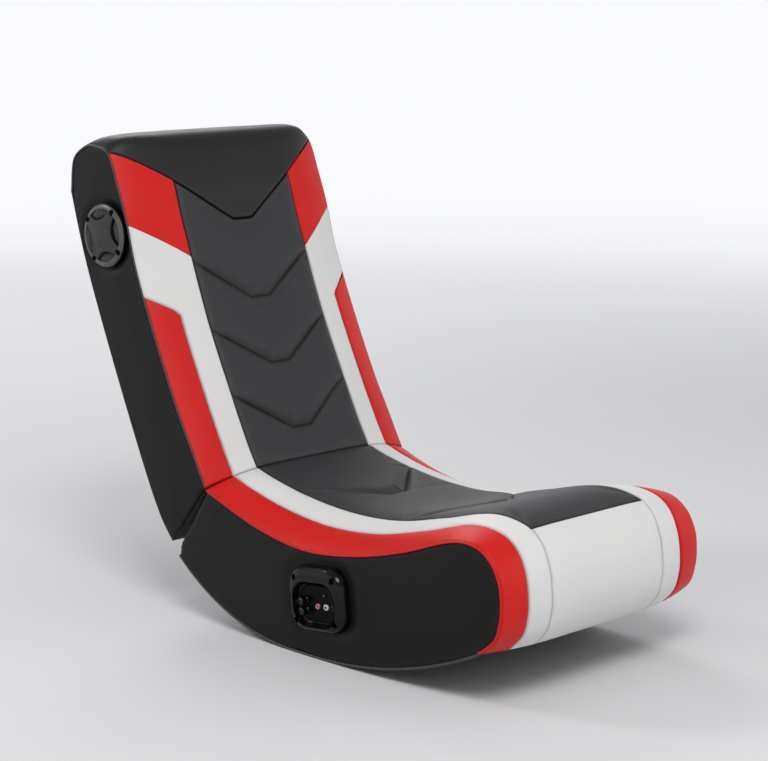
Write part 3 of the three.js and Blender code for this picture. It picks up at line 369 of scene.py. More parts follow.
class Padding:
    """A padded side of the chair: its middle line, its side line and the face that the padding lies on."""

    def __init__(self, body: Body) -> None:
        """Draws the curves of the seat or of the back.

        Args:
            body: The seat or the back.
        """
        s = SIZES
        self.body = body
        self.of_seat = body is Body.SEAT
        if self.of_seat:
            self.down, self.square = gap_axes(s.fold_slope - s.fold_spread)
            self.origin = np.array([0.0, s.pivot_height])
            self.gap_sign = -1.0
            self.inward_sign = 1.0
            self.top_power = 0.0
            self.edge_fall = s.seat_edge_fall
            self.pad_rise = s.seat_pad_rise
            scale = np.array([s.seat_reach, s.pivot_height])
            centre, edge = SEAT_CENTRE_SHARES, SEAT_EDGE_SHARES
        else:
            self.down, self.square = gap_axes(s.fold_slope + s.fold_spread + s.lean)
            self.origin = np.zeros(2)
            self.gap_sign = 1.0
            self.inward_sign = -1.0
            self.top_power = 4.0
            self.edge_fall = s.back_edge_fall
            self.pad_rise = s.back_pad_rise
            scale = np.array([s.back_depth, s.back_height])
            centre, edge = BACK_CENTRE_SHARES, BACK_EDGE_SHARES
        self.centre = Spline([self.end(-self.pad_rise), *(np.array(p) * scale for p in centre)])
        self.edge = Spline([self.end(self.edge_fall), *(np.array(p) * scale for p in edge)])
        front = self.centre.places <= (len(centre) - 4) / len(centre)
        self.front_places = self.centre.places[front]
        self.front_heights = self.centre.at(self.front_places)[:, 1]

    def end(self, fall: float, depth: float = 0.0) -> Points:
        """A point on the end face at the fold gap.

        Args:
            fall: Distance from the fold axis, down along the gap.
            depth: Depth behind that face; a negative depth lies in the gap.

        Returns:
            The point.
        """
        return self.origin + self.down * fall + self.square * self.gap_sign * (SIZES.fold_half_gap + depth)

    def bed(self, place: Points, depth: float = 0.0) -> Points:
        """The face under the padding, or one deeper than it."""
        place = np.asarray(place, float)
        run = self.edge.direction(place)
        inward = np.stack([-run[..., 1], run[..., 0]], -1) * self.inward_sign
        under = self.edge.at(place) + inward * (SIZES.pad_lip + depth)
        return np.where((place <= 0)[..., None], self.end(self.edge_fall + SIZES.pad_lip + depth), under)

    def face(self, place: Points, across: Points, depth: Points) -> Points:
        """The padding's face, lowered by a depth towards its bed."""
        s = SIZES
        reach = np.clip(np.abs(across) - s.flat_half, 0, None) / (s.half_width - s.flat_half)
        power = s.crown_power + self.top_power * smooth_step((np.asarray(place) - 0.6) / 0.12)
        share = (reach ** power)[..., None]
        top = self.centre.at(place) * (1 - share) + self.edge.at(place) * share
        run = self.bed(place) - top
        run = run / np.linalg.norm(run, axis=-1, keepdims=True)
        return top + run * np.asarray(depth)[..., None]

    def place_at(self, distance: Points) -> Points:
        """Places at distances along the seat, or at heights along the back."""
        if self.of_seat:
            return self.centre.place_of_length(distance)
        return np.interp(distance, self.front_heights, self.front_places)

    def start(self) -> float:
        """Where those distances or heights start."""
        return 0.0 if self.of_seat else float(self.front_heights[0])

    def edge_line(self, depth: float, first: float = 0.0, last: float = 1.0, count: int = 150) -> Points:
        """The side line moved inwards by a depth, from one place to another."""
        return self.bed(np.linspace(first, last, count), depth - SIZES.pad_lip)

    def world(self, across: Points, points: Points) -> Points:
        """Points in the chair's frame.

        Args:
            across: X of each point.
            points: The points on the seat's or the back's own axes.

        Returns:
            An array of X, Y and Z.
        """
        s = SIZES
        first, second = points[..., 0], points[..., 1]
        across = np.broadcast_to(np.asarray(across, float), first.shape)
        if self.of_seat:
            return np.stack([across, first + s.pivot_forward, second], -1)
        lean_cos, lean_sin = math.cos(s.lean), math.sin(s.lean)
        y = first * lean_cos + second * lean_sin + s.pivot_forward
        return np.stack([across, y, second * lean_cos - first * lean_sin + s.pivot_height], -1)


# Meshes


def link(name: str, data: bpy.types.ID) -> bpy.types.Object:
    """A new object in the scene."""
    made = bpy.data.objects.new(name, data)
    bpy.context.scene.collection.objects.link(made)
    return made


def mesh_object(name: str, points: Points, faces: Sequence[Sequence[int]], smooth: bool = True) -> bpy.types.Object:
    """A mesh object from points in millimetres.

    Args:
        name: The object's name.
        points: Its points, one a row.
        faces: Its faces.
        smooth: Whether it is shaded smooth.

    Returns:
        The object, with its faces turned outwards.
    """
    mesh = bpy.data.meshes.new(name)
    mesh.from_pydata((np.asarray(points, float) * MM).tolist(), [], [list(f) for f in faces])
    made = link(name, mesh)
    face_outwards(made)
    mesh.polygons.foreach_set("use_smooth", [smooth] * len(mesh.polygons))
    return made


def face_outwards(piece: bpy.types.Object) -> None:
    """Turns the faces of a closed mesh outwards."""
    work = bmesh.new()
    work.from_mesh(piece.data)
    bmesh.ops.recalc_face_normals(work, faces=work.faces)
    work.to_mesh(piece.data)
    work.free()
    piece.data.update()


def merge_doubles(piece: bpy.types.Object, distance: float) -> None:
    """Merges the corners of a mesh that lie within a distance, in millimetres."""
    work = bmesh.new()
    work.from_mesh(piece.data)
    bmesh.ops.remove_doubles(work, verts=work.verts, dist=distance * MM)
    work.to_mesh(piece.data)
    work.free()
    piece.data.update()


def read_points(mesh: bpy.types.Mesh) -> Points:
    """A mesh's points in millimetres."""
    flat = np.zeros(len(mesh.vertices) * 3, np.float32)
    mesh.vertices.foreach_get("co", flat)
    return flat.reshape(-1, 3).astype(float) / MM


def write_points(mesh: bpy.types.Mesh, points: Points) -> None:
    """Sets a mesh's points from millimetres."""
    mesh.vertices.foreach_set("co", (points * MM).astype(np.float32).ravel())
    mesh.update()


def set_attribute(mesh: bpy.types.Mesh, name: str, values: Points) -> None:
    """Gives each point of a mesh a value that materials can read."""
    layer = mesh.attributes.new(name, "FLOAT", "POINT")
    layer.data.foreach_set("value", np.asarray(values, np.float32))


def closed_grid(upper: Points, lower: Points) -> tuple[Points, list[tuple[int, ...]]]:
    """A closed body between two grids of points.

    Args:
        upper: Rows of columns of points.
        lower: The same for its other face.

    Returns:
        Its points, the upper ones first, and its faces.
    """
    rows, columns = upper.shape[:2]
    index = np.arange(rows * columns).reshape(rows, columns)
    under = index + rows * columns
    quads = np.stack([index[:-1, :-1], index[:-1, 1:], index[1:, 1:], index[1:, :-1]], -1).reshape(-1, 4)
    low = np.stack([under[:-1, :-1], under[1:, :-1], under[1:, 1:], under[:-1, 1:]], -1).reshape(-1, 4)
    rim = np.concatenate([index[0], index[1:, -1], index[-1, -2::-1], index[-2:0:-1, 0]])
    after = np.roll(rim, -1)
    wall = np.stack([after, rim, rim + rows * columns, after + rows * columns], -1)
    faces = [tuple(int(i) for i in face) for face in np.concatenate([quads, low, wall])]
    return np.concatenate([upper.reshape(-1, 3), lower.reshape(-1, 3)]), faces


def ring_body(rings: Sequence[Points]) -> tuple[Points, list[tuple[int, ...]]]:
    """A closed body through rings of points, with a flat face over each end.

    Args:
        rings: Rings with equal counts of points.

    Returns:
        Its points and its faces.
    """
    count = len(rings[0])
    faces: list[tuple[int, ...]] = [tuple(range(count))]
    for k in range(len(rings) - 1):
        a, b = k * count, (k + 1) * count
        faces.extend((a + i, a + (i + 1) % count, b + (i + 1) % count, b + i) for i in range(count))
    faces.append(tuple(range((len(rings) - 1) * count, len(rings) * count)))
    return np.concatenate([np.asarray(r, float) for r in rings]), faces


def lathe(profile: Sequence[tuple[float, float]], sides: int, closed: bool = False
          ) -> tuple[Points, list[tuple[int, ...]]]:
    """Turns a profile about the third axis.

    Args:
        profile: Radius and height of each of its corners.
        sides: The facets round.
        closed: Whether the profile closes on itself instead of at the axis.

    Returns:
        The points and the faces.
    """
    size = len(profile)
    span = size if closed else size - 1
    points = np.array([(r * math.cos(t), r * math.sin(t), h)
                       for t in np.linspace(0, 2 * math.pi, sides + 1)[:-1] for r, h in profile])
    faces = [(i * size + k, i * size + (k + 1) % size, ((i + 1) % sides) * size + (k + 1) % size,
              ((i + 1) % sides) * size + k) for i in range(sides) for k in range(span)]
    return points, faces


def undulation(points: Points, wavelength: float, seed: float) -> Points:
    """An even, fixed noise over some points, from about -1 to 1.

    Args:
        points: Points in millimetres.
        wavelength: Its longest wave in millimetres.
        seed: A shift that gives each piece waves of its own.

    Returns:
        One value a point.
    """
    shift = Vector((seed, seed * 1.7, seed * 2.3))
    return np.array([noise.noise(Vector(p) / wavelength + shift) for p in points])


# Geometry Nodes


class NodeTree:
    """A node tree with short ways to add nodes, links and sockets."""

    def __init__(self, tree: bpy.types.NodeTree) -> None:
        """Keeps the tree that nodes go into."""
        self.tree = tree

    def node(self, kind: str, inputs: Optional[dict] = None, **settings: object) -> bpy.types.Node:
        """A new node.

        Args:
            kind: Its type's name.
            inputs: A value, or another node's output socket, for each named or numbered input.
            **settings: Its own settings.

        Returns:
            The node.
        """
        made = self.tree.nodes.new(kind)
        for name, value in settings.items():
            setattr(made, name, value)
        for name, value in (inputs or {}).items():
            if isinstance(value, bpy.types.NodeSocket):
                self.tree.links.new(value, made.inputs[name])
            else:
                made.inputs[name].default_value = value
        return made

    def maths(self, operation: str, first: object, second: object = 0.0, third: object = 0.0) -> bpy.types.NodeSocket:
        """A Math node's output."""
        kind = "ShaderNodeMath"
        return self.node(kind, {0: first, 1: second, 2: third}, operation=operation).outputs[0]


def geometry_tree(name: str, sockets: Sequence[tuple[str, str]]) -> tuple[NodeTree, bpy.types.Node, bpy.types.Node]:
    """An empty Geometry Nodes tree.

    Args:
        name: Its name.
        sockets: Name and kind of each input after the geometry.

    Returns:
        The tree, its input node and its output node.
    """
    group = bpy.data.node_groups.new(name, "GeometryNodeTree")
    group.interface.new_socket(name="Geometry", in_out="INPUT", socket_type="NodeSocketGeometry")
    group.interface.new_socket(name="Geometry", in_out="OUTPUT", socket_type="NodeSocketGeometry")
    for label, kind in sockets:
        group.interface.new_socket(name=label, in_out="INPUT", socket_type=kind)
    tree = NodeTree(group)
    return tree, tree.node("NodeGroupInput"), tree.node("NodeGroupOutput")


def finish_tree(tree: NodeTree, end: bpy.types.Node, geometry: bpy.types.NodeSocket, material: object) -> None:
    """Ends a tree: instances made real and given their material."""
    real = tree.node("GeometryNodeRealizeInstances", {"Geometry": geometry})
    painted = tree.node("GeometryNodeSetMaterial", {"Geometry": real.outputs[0], "Material": material})
    tree.tree.links.new(painted.outputs[0], end.inputs[0])


def run_tree(source: bpy.types.Object, tree: NodeTree, values: dict[str, object], name: str) -> bpy.types.Object:
    """Runs a tree on an object and keeps the result as a plain mesh.

    Args:
        source: The object, which is used up.
        tree: The tree.
        values: A value for each named input.
        name: The new piece's name.

    Returns:
        The piece.
    """
    modifier = source.modifiers.new(name, "NODES")
    modifier.node_group = tree.tree
    sockets = {s.name: s.identifier for s in tree.tree.interface.items_tree if s.in_out == "INPUT"}
    for label, value in values.items():
        modifier[sockets[label]] = value
    source.update_tag()
    bpy.context.view_layer.update()
    made = bpy.data.meshes.new_from_object(source.evaluated_get(bpy.context.evaluated_depsgraph_get()))
    made.name = name
    bpy.data.objects.remove(source)
    return link(name, made)


def apply_modifiers(piece: bpy.types.Object) -> None:
    """Makes what an object's modifiers show its own mesh."""
    bpy.context.view_layer.update()
    made = bpy.data.meshes.new_from_object(piece.evaluated_get(bpy.context.evaluated_depsgraph_get()))
    piece.modifiers.clear()
    piece.data = made


def cut_out(piece: bpy.types.Object, tools: Sequence[bpy.types.Object], angle: float = 40.0) -> None:
    """Takes closed tools out of a piece, and keeps edges over an angle sharp."""
    for tool in tools:
        cut = piece.modifiers.new("cut", "BOOLEAN")
        cut.operation = "DIFFERENCE"
        cut.object = tool
        cut.solver = "EXACT"
        apply_modifiers(piece)
        bpy.data.objects.remove(tool)
    piece.data.set_sharp_from_angle(angle=math.radians(angle))


def path_object(name: str, points: Points, closed: bool = False) -> bpy.types.Object:
    """A curve object through points in millimetres, straight between them."""
    curve = bpy.data.curves.new(name, "CURVE")
    curve.dimensions = "3D"
    line = curve.splines.new("POLY")
    line.points.add(len(points) - 1)
    for target, source in zip(line.points, points):
        target.co = (*(source * MM), 1.0)
    line.use_cyclic_u = closed
    return link(name, curve)


class PipingMaker:
    """Welts: a round cord under leatherette along a path."""

    def __init__(self) -> None:
        """Builds the tree once for all welts."""
        tree, start, end = geometry_tree("piping", [
            ("Radius", "NodeSocketFloat"), ("Spacing", "NodeSocketFloat"), ("Sides", "NodeSocketInt"),
            ("Finish", "NodeSocketMaterial"),
        ])
        even = tree.node("GeometryNodeResampleCurve", {"Curve": start.outputs["Geometry"],
                                                       "Length": start.outputs["Spacing"]}, mode="LENGTH")
        ring = tree.node("GeometryNodeCurvePrimitiveCircle", {"Resolution": start.outputs["Sides"],
                                                              "Radius": start.outputs["Radius"]})
        swept = tree.node("GeometryNodeCurveToMesh", {"Curve": even.outputs[0], "Profile Curve": ring.outputs[0],
                                                      "Fill Caps": True})
        smooth = tree.node("GeometryNodeSetShadeSmooth", {"Geometry": swept.outputs[0]})
        finish_tree(tree, end, smooth.outputs[0], start.outputs["Finish"])
        self.tree = tree

    def make(self, name: str, path: Points, radius: float, finish: bpy.types.Material, sides: int = 12,
             closed: bool = False) -> bpy.types.Object:
        """A welt.

        Args:
            name: The piece's name.
            path: Its middle line in millimetres.
            radius: Its radius.
            finish: Its material.
            sides: Corners of its round section.
            closed: Whether the path closes on itself.

        Returns:
            The piece.
        """
        values = {"Radius": radius * MM, "Spacing": 4.0 * MM, "Sides": sides, "Finish": finish}
        piece = run_tree(path_object(name, path, closed), self.tree, values, name)
        face_outwards(piece)
        return piece


class StitchMaker:
    """Rows of stitches along a path."""

    def __init__(self) -> None:
        """Builds the tree once for all rows."""
        tree, start, end = geometry_tree("stitches", [
            ("Pitch", "NodeSocketFloat"), ("Length", "NodeSocketFloat"), ("Radius", "NodeSocketFloat"),
            ("Finish", "NodeSocketMaterial"),
        ])
        even = tree.node("GeometryNodeCurveToPoints", {"Curve": start.outputs["Geometry"],
                                                       "Length": start.outputs["Pitch"]}, mode="LENGTH")
        thread = tree.node("GeometryNodeMeshUVSphere", {"Segments": 6, "Rings": 4, "Radius": 1.0})
        size = tree.node("ShaderNodeCombineXYZ", {
            "X": start.outputs["Radius"], "Y": start.outputs["Radius"],
            "Z": tree.maths("MULTIPLY", start.outputs["Length"], 0.5)})
        placed = tree.node("GeometryNodeInstanceOnPoints", {
            "Points": even.outputs["Points"], "Instance": thread.outputs[0], "Rotation": even.outputs["Rotation"],
            "Scale": size.outputs[0]})
        smooth = tree.node("GeometryNodeSetShadeSmooth", {"Geometry": placed.outputs[0]})
        finish_tree(tree, end, smooth.outputs[0], start.outputs["Finish"])
        self.tree = tree

    def make(self, name: str, paths: Sequence[Points], pitch: float, length: float, radius: float,
             finish: bpy.types.Material) -> bpy.types.Object:
        """Rows of stitches as one piece.

        Args:
            name: The piece's name.
            paths: The rows' lines in millimetres.
            pitch: From one stitch to the next.
            length: Length of a stitch.
            radius: Radius of the thread.
            finish: Its material.

        Returns:
            The piece.
        """
        source = path_object(name, paths[0])
        for path in paths[1:]:
            line = source.data.splines.new("POLY")
            line.points.add(len(path) - 1)
            for target, point in zip(line.points, path):
                target.co = (*(point * MM), 1.0)
        values = {"Pitch": pitch * MM, "Length": length * MM, "Radius": radius * MM, "Finish": finish}
        return run_tree(source, self.tree, values, name)


# Materials


def shader_group(name: str, inputs: Sequence[tuple[str, str, object]], outputs: Sequence[tuple[str, str]]
                 ) -> tuple[NodeTree, bpy.types.Node, bpy.types.Node]:
    """An empty shader node group.

    Args:
        name: Its name.
        inputs: Name, kind and usual value of each input.
        outputs: Name and kind of each output.

    Returns:
        The group, its input node and its output node.
    """
    group = bpy.data.node_groups.new(name, "ShaderNodeTree")
    for label, kind, value in inputs:
        socket = group.interface.new_socket(name=label, in_out="INPUT", socket_type=kind)
        socket.default_value = value
    for label, kind in outputs:
        group.interface.new_socket(name=label, in_out="OUTPUT", socket_type=kind)
    tree = NodeTree(group)
    return tree, tree.node("NodeGroupInput"), tree.node("NodeGroupOutput")


FLOAT = "NodeSocketFloat"
COLOUR = "NodeSocketColor"


class Effects:
    """Shader node groups that more than one material uses."""

    def __init__(self) -> None:
        """Builds each group once."""
        self.grain = self._grain()
        self.tone = self._tone()
        self.seams = self._seams()
        self.mottle = self._mottle()

    def _grain(self) -> bpy.types.NodeTree:
        """Pebbled grain: rounded cells of uneven size with fine creases between them."""
        tree, start, end = shader_group("pebble_grain", [
            ("Cells", FLOAT, 900.0), ("Crease", FLOAT, 0.35), ("Base", FLOAT, 0.45), ("Change", FLOAT, 0.12),
        ], [("Height", FLOAT), ("Roughness", FLOAT)])
        place = tree.node("ShaderNodeTexCoord").outputs["Object"]
        slow = tree.node("ShaderNodeTexNoise", {"Vector": place, "Scale": 160.0, "Detail": 2.0})
        bent = tree.node("ShaderNodeVectorMath", {0: slow.outputs["Color"], 1: (0.0022, 0.0022, 0.0022)},
                         operation="MULTIPLY")
        moved = tree.node("ShaderNodeVectorMath", {0: place, 1: bent.outputs[0]}, operation="ADD")
        cells = tree.node("ShaderNodeTexVoronoi", {"Vector": moved.outputs[0], "Scale": start.outputs["Cells"]},
                          feature="DISTANCE_TO_EDGE")
        ridge = tree.node("ShaderNodeMapRange", {"Value": cells.outputs["Distance"], "From Min": 0.0,
                                                 "From Max": start.outputs["Crease"]},
                          interpolation_type="SMOOTHSTEP")
        fine = tree.node("ShaderNodeTexNoise", {"Vector": place, "Scale": 2400.0, "Detail": 3.0})
        height = tree.maths("MULTIPLY_ADD", fine.outputs["Fac"], 0.25, ridge.outputs[0])
        rough = tree.maths("MULTIPLY_ADD", tree.maths("SUBTRACT", 1.0, ridge.outputs[0]), start.outputs["Change"],
                           start.outputs["Base"])
        tree.tree.links.new(height, end.inputs["Height"])
        tree.tree.links.new(rough, end.inputs["Roughness"])
        return tree.tree

    def _tone(self) -> bpy.types.NodeTree:
        """Broad uneven tone, as dye and handling leave it."""
        tree, start, end = shader_group("uneven_tone", [
            ("Color", COLOUR, (0.5, 0.5, 0.5, 1.0)), ("Waves", FLOAT, 9.0), ("Amount", FLOAT, 0.1),
        ], [("Color", COLOUR)])
        place = tree.node("ShaderNodeTexCoord").outputs["Object"]
        slow = tree.node("ShaderNodeTexNoise", {"Vector": place, "Scale": start.outputs["Waves"], "Detail": 4.0,
                                                "Roughness": 0.55})
        centred = tree.maths("SUBTRACT", slow.outputs["Fac"], 0.5)
        gain = tree.maths("MULTIPLY_ADD", centred, tree.maths("MULTIPLY", start.outputs["Amount"], 2.0), 1.0)
        mixed = tree.node("ShaderNodeVectorMath", {0: start.outputs["Color"], "Scale": gain}, operation="SCALE")
        tree.tree.links.new(mixed.outputs[0], end.inputs["Color"])
        return tree.tree

    def _seams(self) -> bpy.types.NodeTree:
        """Painted shade in the seams, the channels and the crease, and a faint rub of wear on the rolls beside them,
        from the pieces' seam value.
        """
        tree, start, end = shader_group("seam_shade", [
            ("Color", COLOUR, (0.5, 0.5, 0.5, 1.0)), ("Dark", FLOAT, 0.45), ("Rub", FLOAT, 0.06),
        ], [("Color", COLOUR), ("Mask", FLOAT)])
        near = tree.node("ShaderNodeAttribute", attribute_name="seam").outputs["Fac"]
        place = tree.node("ShaderNodeTexCoord").outputs["Object"]
        uneven = tree.node("ShaderNodeTexNoise", {"Vector": place, "Scale": 55.0, "Detail": 3.0})
        # Painted shade: the colour darkens as the seam value nears 1.
        deep = tree.maths("POWER", near, 5.0)
        shade = tree.maths("MULTIPLY", tree.maths("MULTIPLY", deep, start.outputs["Dark"]),
                           tree.maths("ADD", uneven.outputs["Fac"], 0.4))
        dark = tree.maths("SUBTRACT", 1.0, tree.maths("MINIMUM", shade, 0.85))
        # The rub is wear: a paler tone on the rolls beside the seams.
        band = tree.maths("MULTIPLY", tree.maths("MULTIPLY", near, tree.maths("SUBTRACT", 1.0, near)), 4.0)
        rub = tree.maths("MULTIPLY", tree.maths("MULTIPLY", band, start.outputs["Rub"]), uneven.outputs["Fac"])
        held = tree.node("ShaderNodeVectorMath", {0: start.outputs["Color"], "Scale": dark}, operation="SCALE")
        worn = tree.node("ShaderNodeMix", {"Factor": rub, "A": held.outputs[0], "B": (0.8, 0.8, 0.78, 1.0)},
                         data_type="RGBA")
        mix = worn.inputs
        colour_a = [s for s in mix if s.name == "A" and s.type == "RGBA"][0]
        colour_b = [s for s in mix if s.name == "B" and s.type == "RGBA"][0]
        tree.tree.links.new(held.outputs[0], colour_a)
        colour_b.default_value = (0.8, 0.8, 0.78, 1.0)
        result = [s for s in worn.outputs if s.type == "RGBA"][0]
        tree.tree.links.new(result, end.inputs["Color"])
        tree.tree.links.new(near, end.inputs["Mask"])
        return tree.tree

    def _mottle(self) -> bpy.types.NodeTree:
        """Fine moulded or cast surface: an even speckle of height and roughness."""
        tree, start, end = shader_group("mould_texture", [
            ("Grains", FLOAT, 1800.0), ("Base", FLOAT, 0.4), ("Change", FLOAT, 0.1),
        ], [("Height", FLOAT), ("Roughness", FLOAT)])
        place = tree.node("ShaderNodeTexCoord").outputs["Object"]
        fine = tree.node("ShaderNodeTexNoise", {"Vector": place, "Scale": start.outputs["Grains"], "Detail": 2.0})
        broad = tree.node("ShaderNodeTexNoise", {"Vector": place, "Scale": 26.0, "Detail": 3.0})
        tree.tree.links.new(fine.outputs["Fac"], end.inputs["Height"])
        rough = tree.maths("MULTIPLY_ADD", tree.maths("SUBTRACT", broad.outputs["Fac"], 0.5),
                           start.outputs["Change"], start.outputs["Base"])
        tree.tree.links.new(rough, end.inputs["Roughness"])
        return tree.tree


class Finish:
    """A material in the making: its tree and its Principled BSDF."""

    def __init__(self, name: str) -> None:
        """Starts a material with only its shader and output."""
        self.material = bpy.data.materials.new(name)
        self.material.use_nodes = True
        self.tree = NodeTree(self.material.node_tree)
        self.shader = next(n for n in self.material.node_tree.nodes if n.type == "BSDF_PRINCIPLED")

    def group(self, group: bpy.types.NodeTree, **inputs: object) -> bpy.types.Node:
        """A shader node group placed in the material, with its inputs."""
        made = self.tree.node("ShaderNodeGroup")
        made.node_tree = group
        for name, value in inputs.items():
            if isinstance(value, bpy.types.NodeSocket):
                self.tree.tree.links.new(value, made.inputs[name])
            else:
                made.inputs[name].default_value = value
        return made

    def join(self, source: bpy.types.NodeSocket, socket: str) -> None:
        """Links something to the shader."""
        self.tree.tree.links.new(source, self.shader.inputs[socket])

    def fix(self, **values: object) -> None:
        """Sets even values on the shader's own sockets; an underscore stands for a space."""
        for name, value in values.items():
            self.shader.inputs[name.replace("_", " ")].default_value = value

    def bump(self, height: bpy.types.NodeSocket, strength: float, depth: float,
             before: Optional[bpy.types.NodeSocket] = None) -> bpy.types.NodeSocket:
        """A Bump node's normal.

        Args:
            height: What raises the surface.
            strength: How much of it is felt.
            depth: Height of the relief in millimetres.
            before: A normal that it adds to.

        Returns:
            The new normal.
        """
        made = self.tree.node("ShaderNodeBump", {"Height": height, "Strength": strength, "Distance": depth * MM})
        if before is not None:
            self.tree.tree.links.new(before, made.inputs["Normal"])
        return made.outputs[0]


@dataclass(frozen=True)
class Leatherette:
    """A grained synthetic leather cover."""

    name: str
    colour: tuple[float, float, float]
    roughness: float = 0.44
    cells: float = 820.0
    relief: float = 0.1
    tone: float = 0.09
    # dark sets how strong the painted shade in the seams is; rub sets how much wear shows beside them.
    dark: float = 0.5
    rub: float = 0.05
    gloss: float = 0.3

    def make(self, effects: Effects) -> bpy.types.Material:
        """The material."""
        finish = Finish(self.name)
        toned = finish.group(effects.tone, Color=(*self.colour, 1.0), Waves=7.0, Amount=self.tone)
        seamed = finish.group(effects.seams, Color=toned.outputs["Color"], Dark=self.dark, Rub=self.rub)
        grain = finish.group(effects.grain, Cells=self.cells, Crease=0.3, Base=self.roughness, Change=0.14)
        finish.join(seamed.outputs["Color"], "Base Color")
        finish.join(grain.outputs["Roughness"], "Roughness")
        finish.join(finish.bump(grain.outputs["Height"], 0.5, self.relief), "Normal")
        finish.fix(Specular_IOR_Level=self.gloss)
        return finish.material


@dataclass(frozen=True)
class MouldedPlastic:
    """A moulded plastic."""

    name: str
    colour: tuple[float, float, float]
    roughness: float = 0.36
    change: float = 0.12
    relief: float = 0.02
    grains: float = 1800.0
    coat: float = 0.0
    tone: float = 0.1
    gloss: float = 0.5

    def make(self, effects: Effects) -> bpy.types.Material:
        """The material."""
        finish = Finish(self.name)
        toned = finish.group(effects.tone, Color=(*self.colour, 1.0), Waves=30.0, Amount=self.tone)
        mould = finish.group(effects.mottle, Grains=self.grains, Base=self.roughness, Change=self.change)
        finish.join(toned.outputs["Color"], "Base Color")
        finish.join(mould.outputs["Roughness"], "Roughness")
        finish.join(finish.bump(mould.outputs["Height"], 0.35, self.relief), "Normal")
        finish.fix(Specular_IOR_Level=self.gloss, Coat_Weight=self.coat, Coat_Roughness=0.12)
        return finish.material


@dataclass(frozen=True)
class PlatedSteel:
    """Zinc plated steel, drawn or rolled."""

    name: str
    colour: tuple[float, float, float] = (0.55, 0.56, 0.58)

    def make(self, effects: Effects) -> bpy.types.Material:
        """The material."""
        finish = Finish(self.name)
        toned = finish.group(effects.tone, Color=(*self.colour, 1.0), Waves=60.0, Amount=0.12)
        mould = finish.group(effects.mottle, Grains=900.0, Base=0.34, Change=0.2)
        place = finish.tree.node("ShaderNodeTexCoord").outputs["Object"]
        drawn = finish.tree.node("ShaderNodeMapping", {"Vector": place, "Scale": (40.0, 1400.0, 1400.0)})
        lines = finish.tree.node("ShaderNodeTexNoise", {"Vector": drawn.outputs[0], "Scale": 1.0, "Detail": 2.0})
        finish.join(toned.outputs["Color"], "Base Color")
        finish.join(mould.outputs["Roughness"], "Roughness")
        finish.join(finish.bump(lines.outputs["Fac"], 0.3, 0.02), "Normal")
        finish.fix(Metallic=1.0)
        return finish.material


@dataclass(frozen=True)
class BirchPly:
    """Bare birch plywood: a pale figured face and fine grain."""

    name: str
    colour: tuple[float, float, float] = (0.58, 0.42, 0.26)

    def make(self, effects: Effects) -> bpy.types.Material:
        """The material."""
        finish = Finish(self.name)
        tree = finish.tree
        place = tree.node("ShaderNodeTexCoord").outputs["Object"]
        drawn = tree.node("ShaderNodeMapping", {"Vector": place, "Scale": (1.0, 0.16, 1.0)})
        bands = tree.node("ShaderNodeTexNoise", {"Vector": drawn.outputs[0], "Scale": 42.0, "Detail": 5.0,
                                                 "Distortion": 0.6})
        fibre = tree.node("ShaderNodeTexNoise", {"Vector": drawn.outputs[0], "Scale": 520.0, "Detail": 3.0})
        ramp = tree.node("ShaderNodeValToRGB", {"Fac": bands.outputs["Fac"]})
        low, high = ramp.color_ramp.elements[0], ramp.color_ramp.elements[1]
        low.position, high.position = 0.35, 0.68
        low.color = (*(c * 0.72 for c in self.colour), 1.0)
        high.color = (*self.colour, 1.0)
        toned = finish.group(effects.tone, Color=ramp.outputs["Color"], Waves=5.0, Amount=0.12)
        rough = tree.maths("MULTIPLY_ADD", fibre.outputs["Fac"], 0.2, 0.58)
        finish.join(toned.outputs["Color"], "Base Color")
        finish.join(rough, "Roughness")
        finish.join(finish.bump(fibre.outputs["Fac"], 0.4, 0.08), "Normal")
        return finish.material


@dataclass(frozen=True)
class Fibre:
    """Paper, felt or woven cloth: a matt surface of fine fibres."""

    name: str
    colour: tuple[float, float, float]
    threads: float = 1400.0
    roughness: float = 0.85
    relief: float = 0.12
    woven: bool = False

    def make(self, effects: Effects) -> bpy.types.Material:
        """The material."""
        finish = Finish(self.name)
        tree = finish.tree
        place = tree.node("ShaderNodeTexCoord").outputs["Object"]
        if self.woven:
            warp = tree.node("ShaderNodeTexWave", {"Vector": place, "Scale": self.threads / 6.3, "Distortion": 0.6},
                             bands_direction="X")
            weft = tree.node("ShaderNodeTexWave", {"Vector": place, "Scale": self.threads / 6.3, "Distortion": 0.6},
                             bands_direction="Z")
            height = tree.maths("MAXIMUM", warp.outputs["Fac"], weft.outputs["Fac"])
        else:
            height = tree.node("ShaderNodeTexNoise", {"Vector": place, "Scale": self.threads,
                                                      "Detail": 4.0}).outputs["Fac"]
        toned = finish.group(effects.tone, Color=(*self.colour, 1.0), Waves=12.0, Amount=0.16)
        rough = tree.maths("MULTIPLY_ADD", height, 0.1, self.roughness)
        finish.join(toned.outputs["Color"], "Base Color")
        finish.join(rough, "Roughness")
        finish.join(finish.bump(height, 0.6, self.relief), "Normal")
        finish.fix(Sheen_Weight=0.15)
        return finish.material


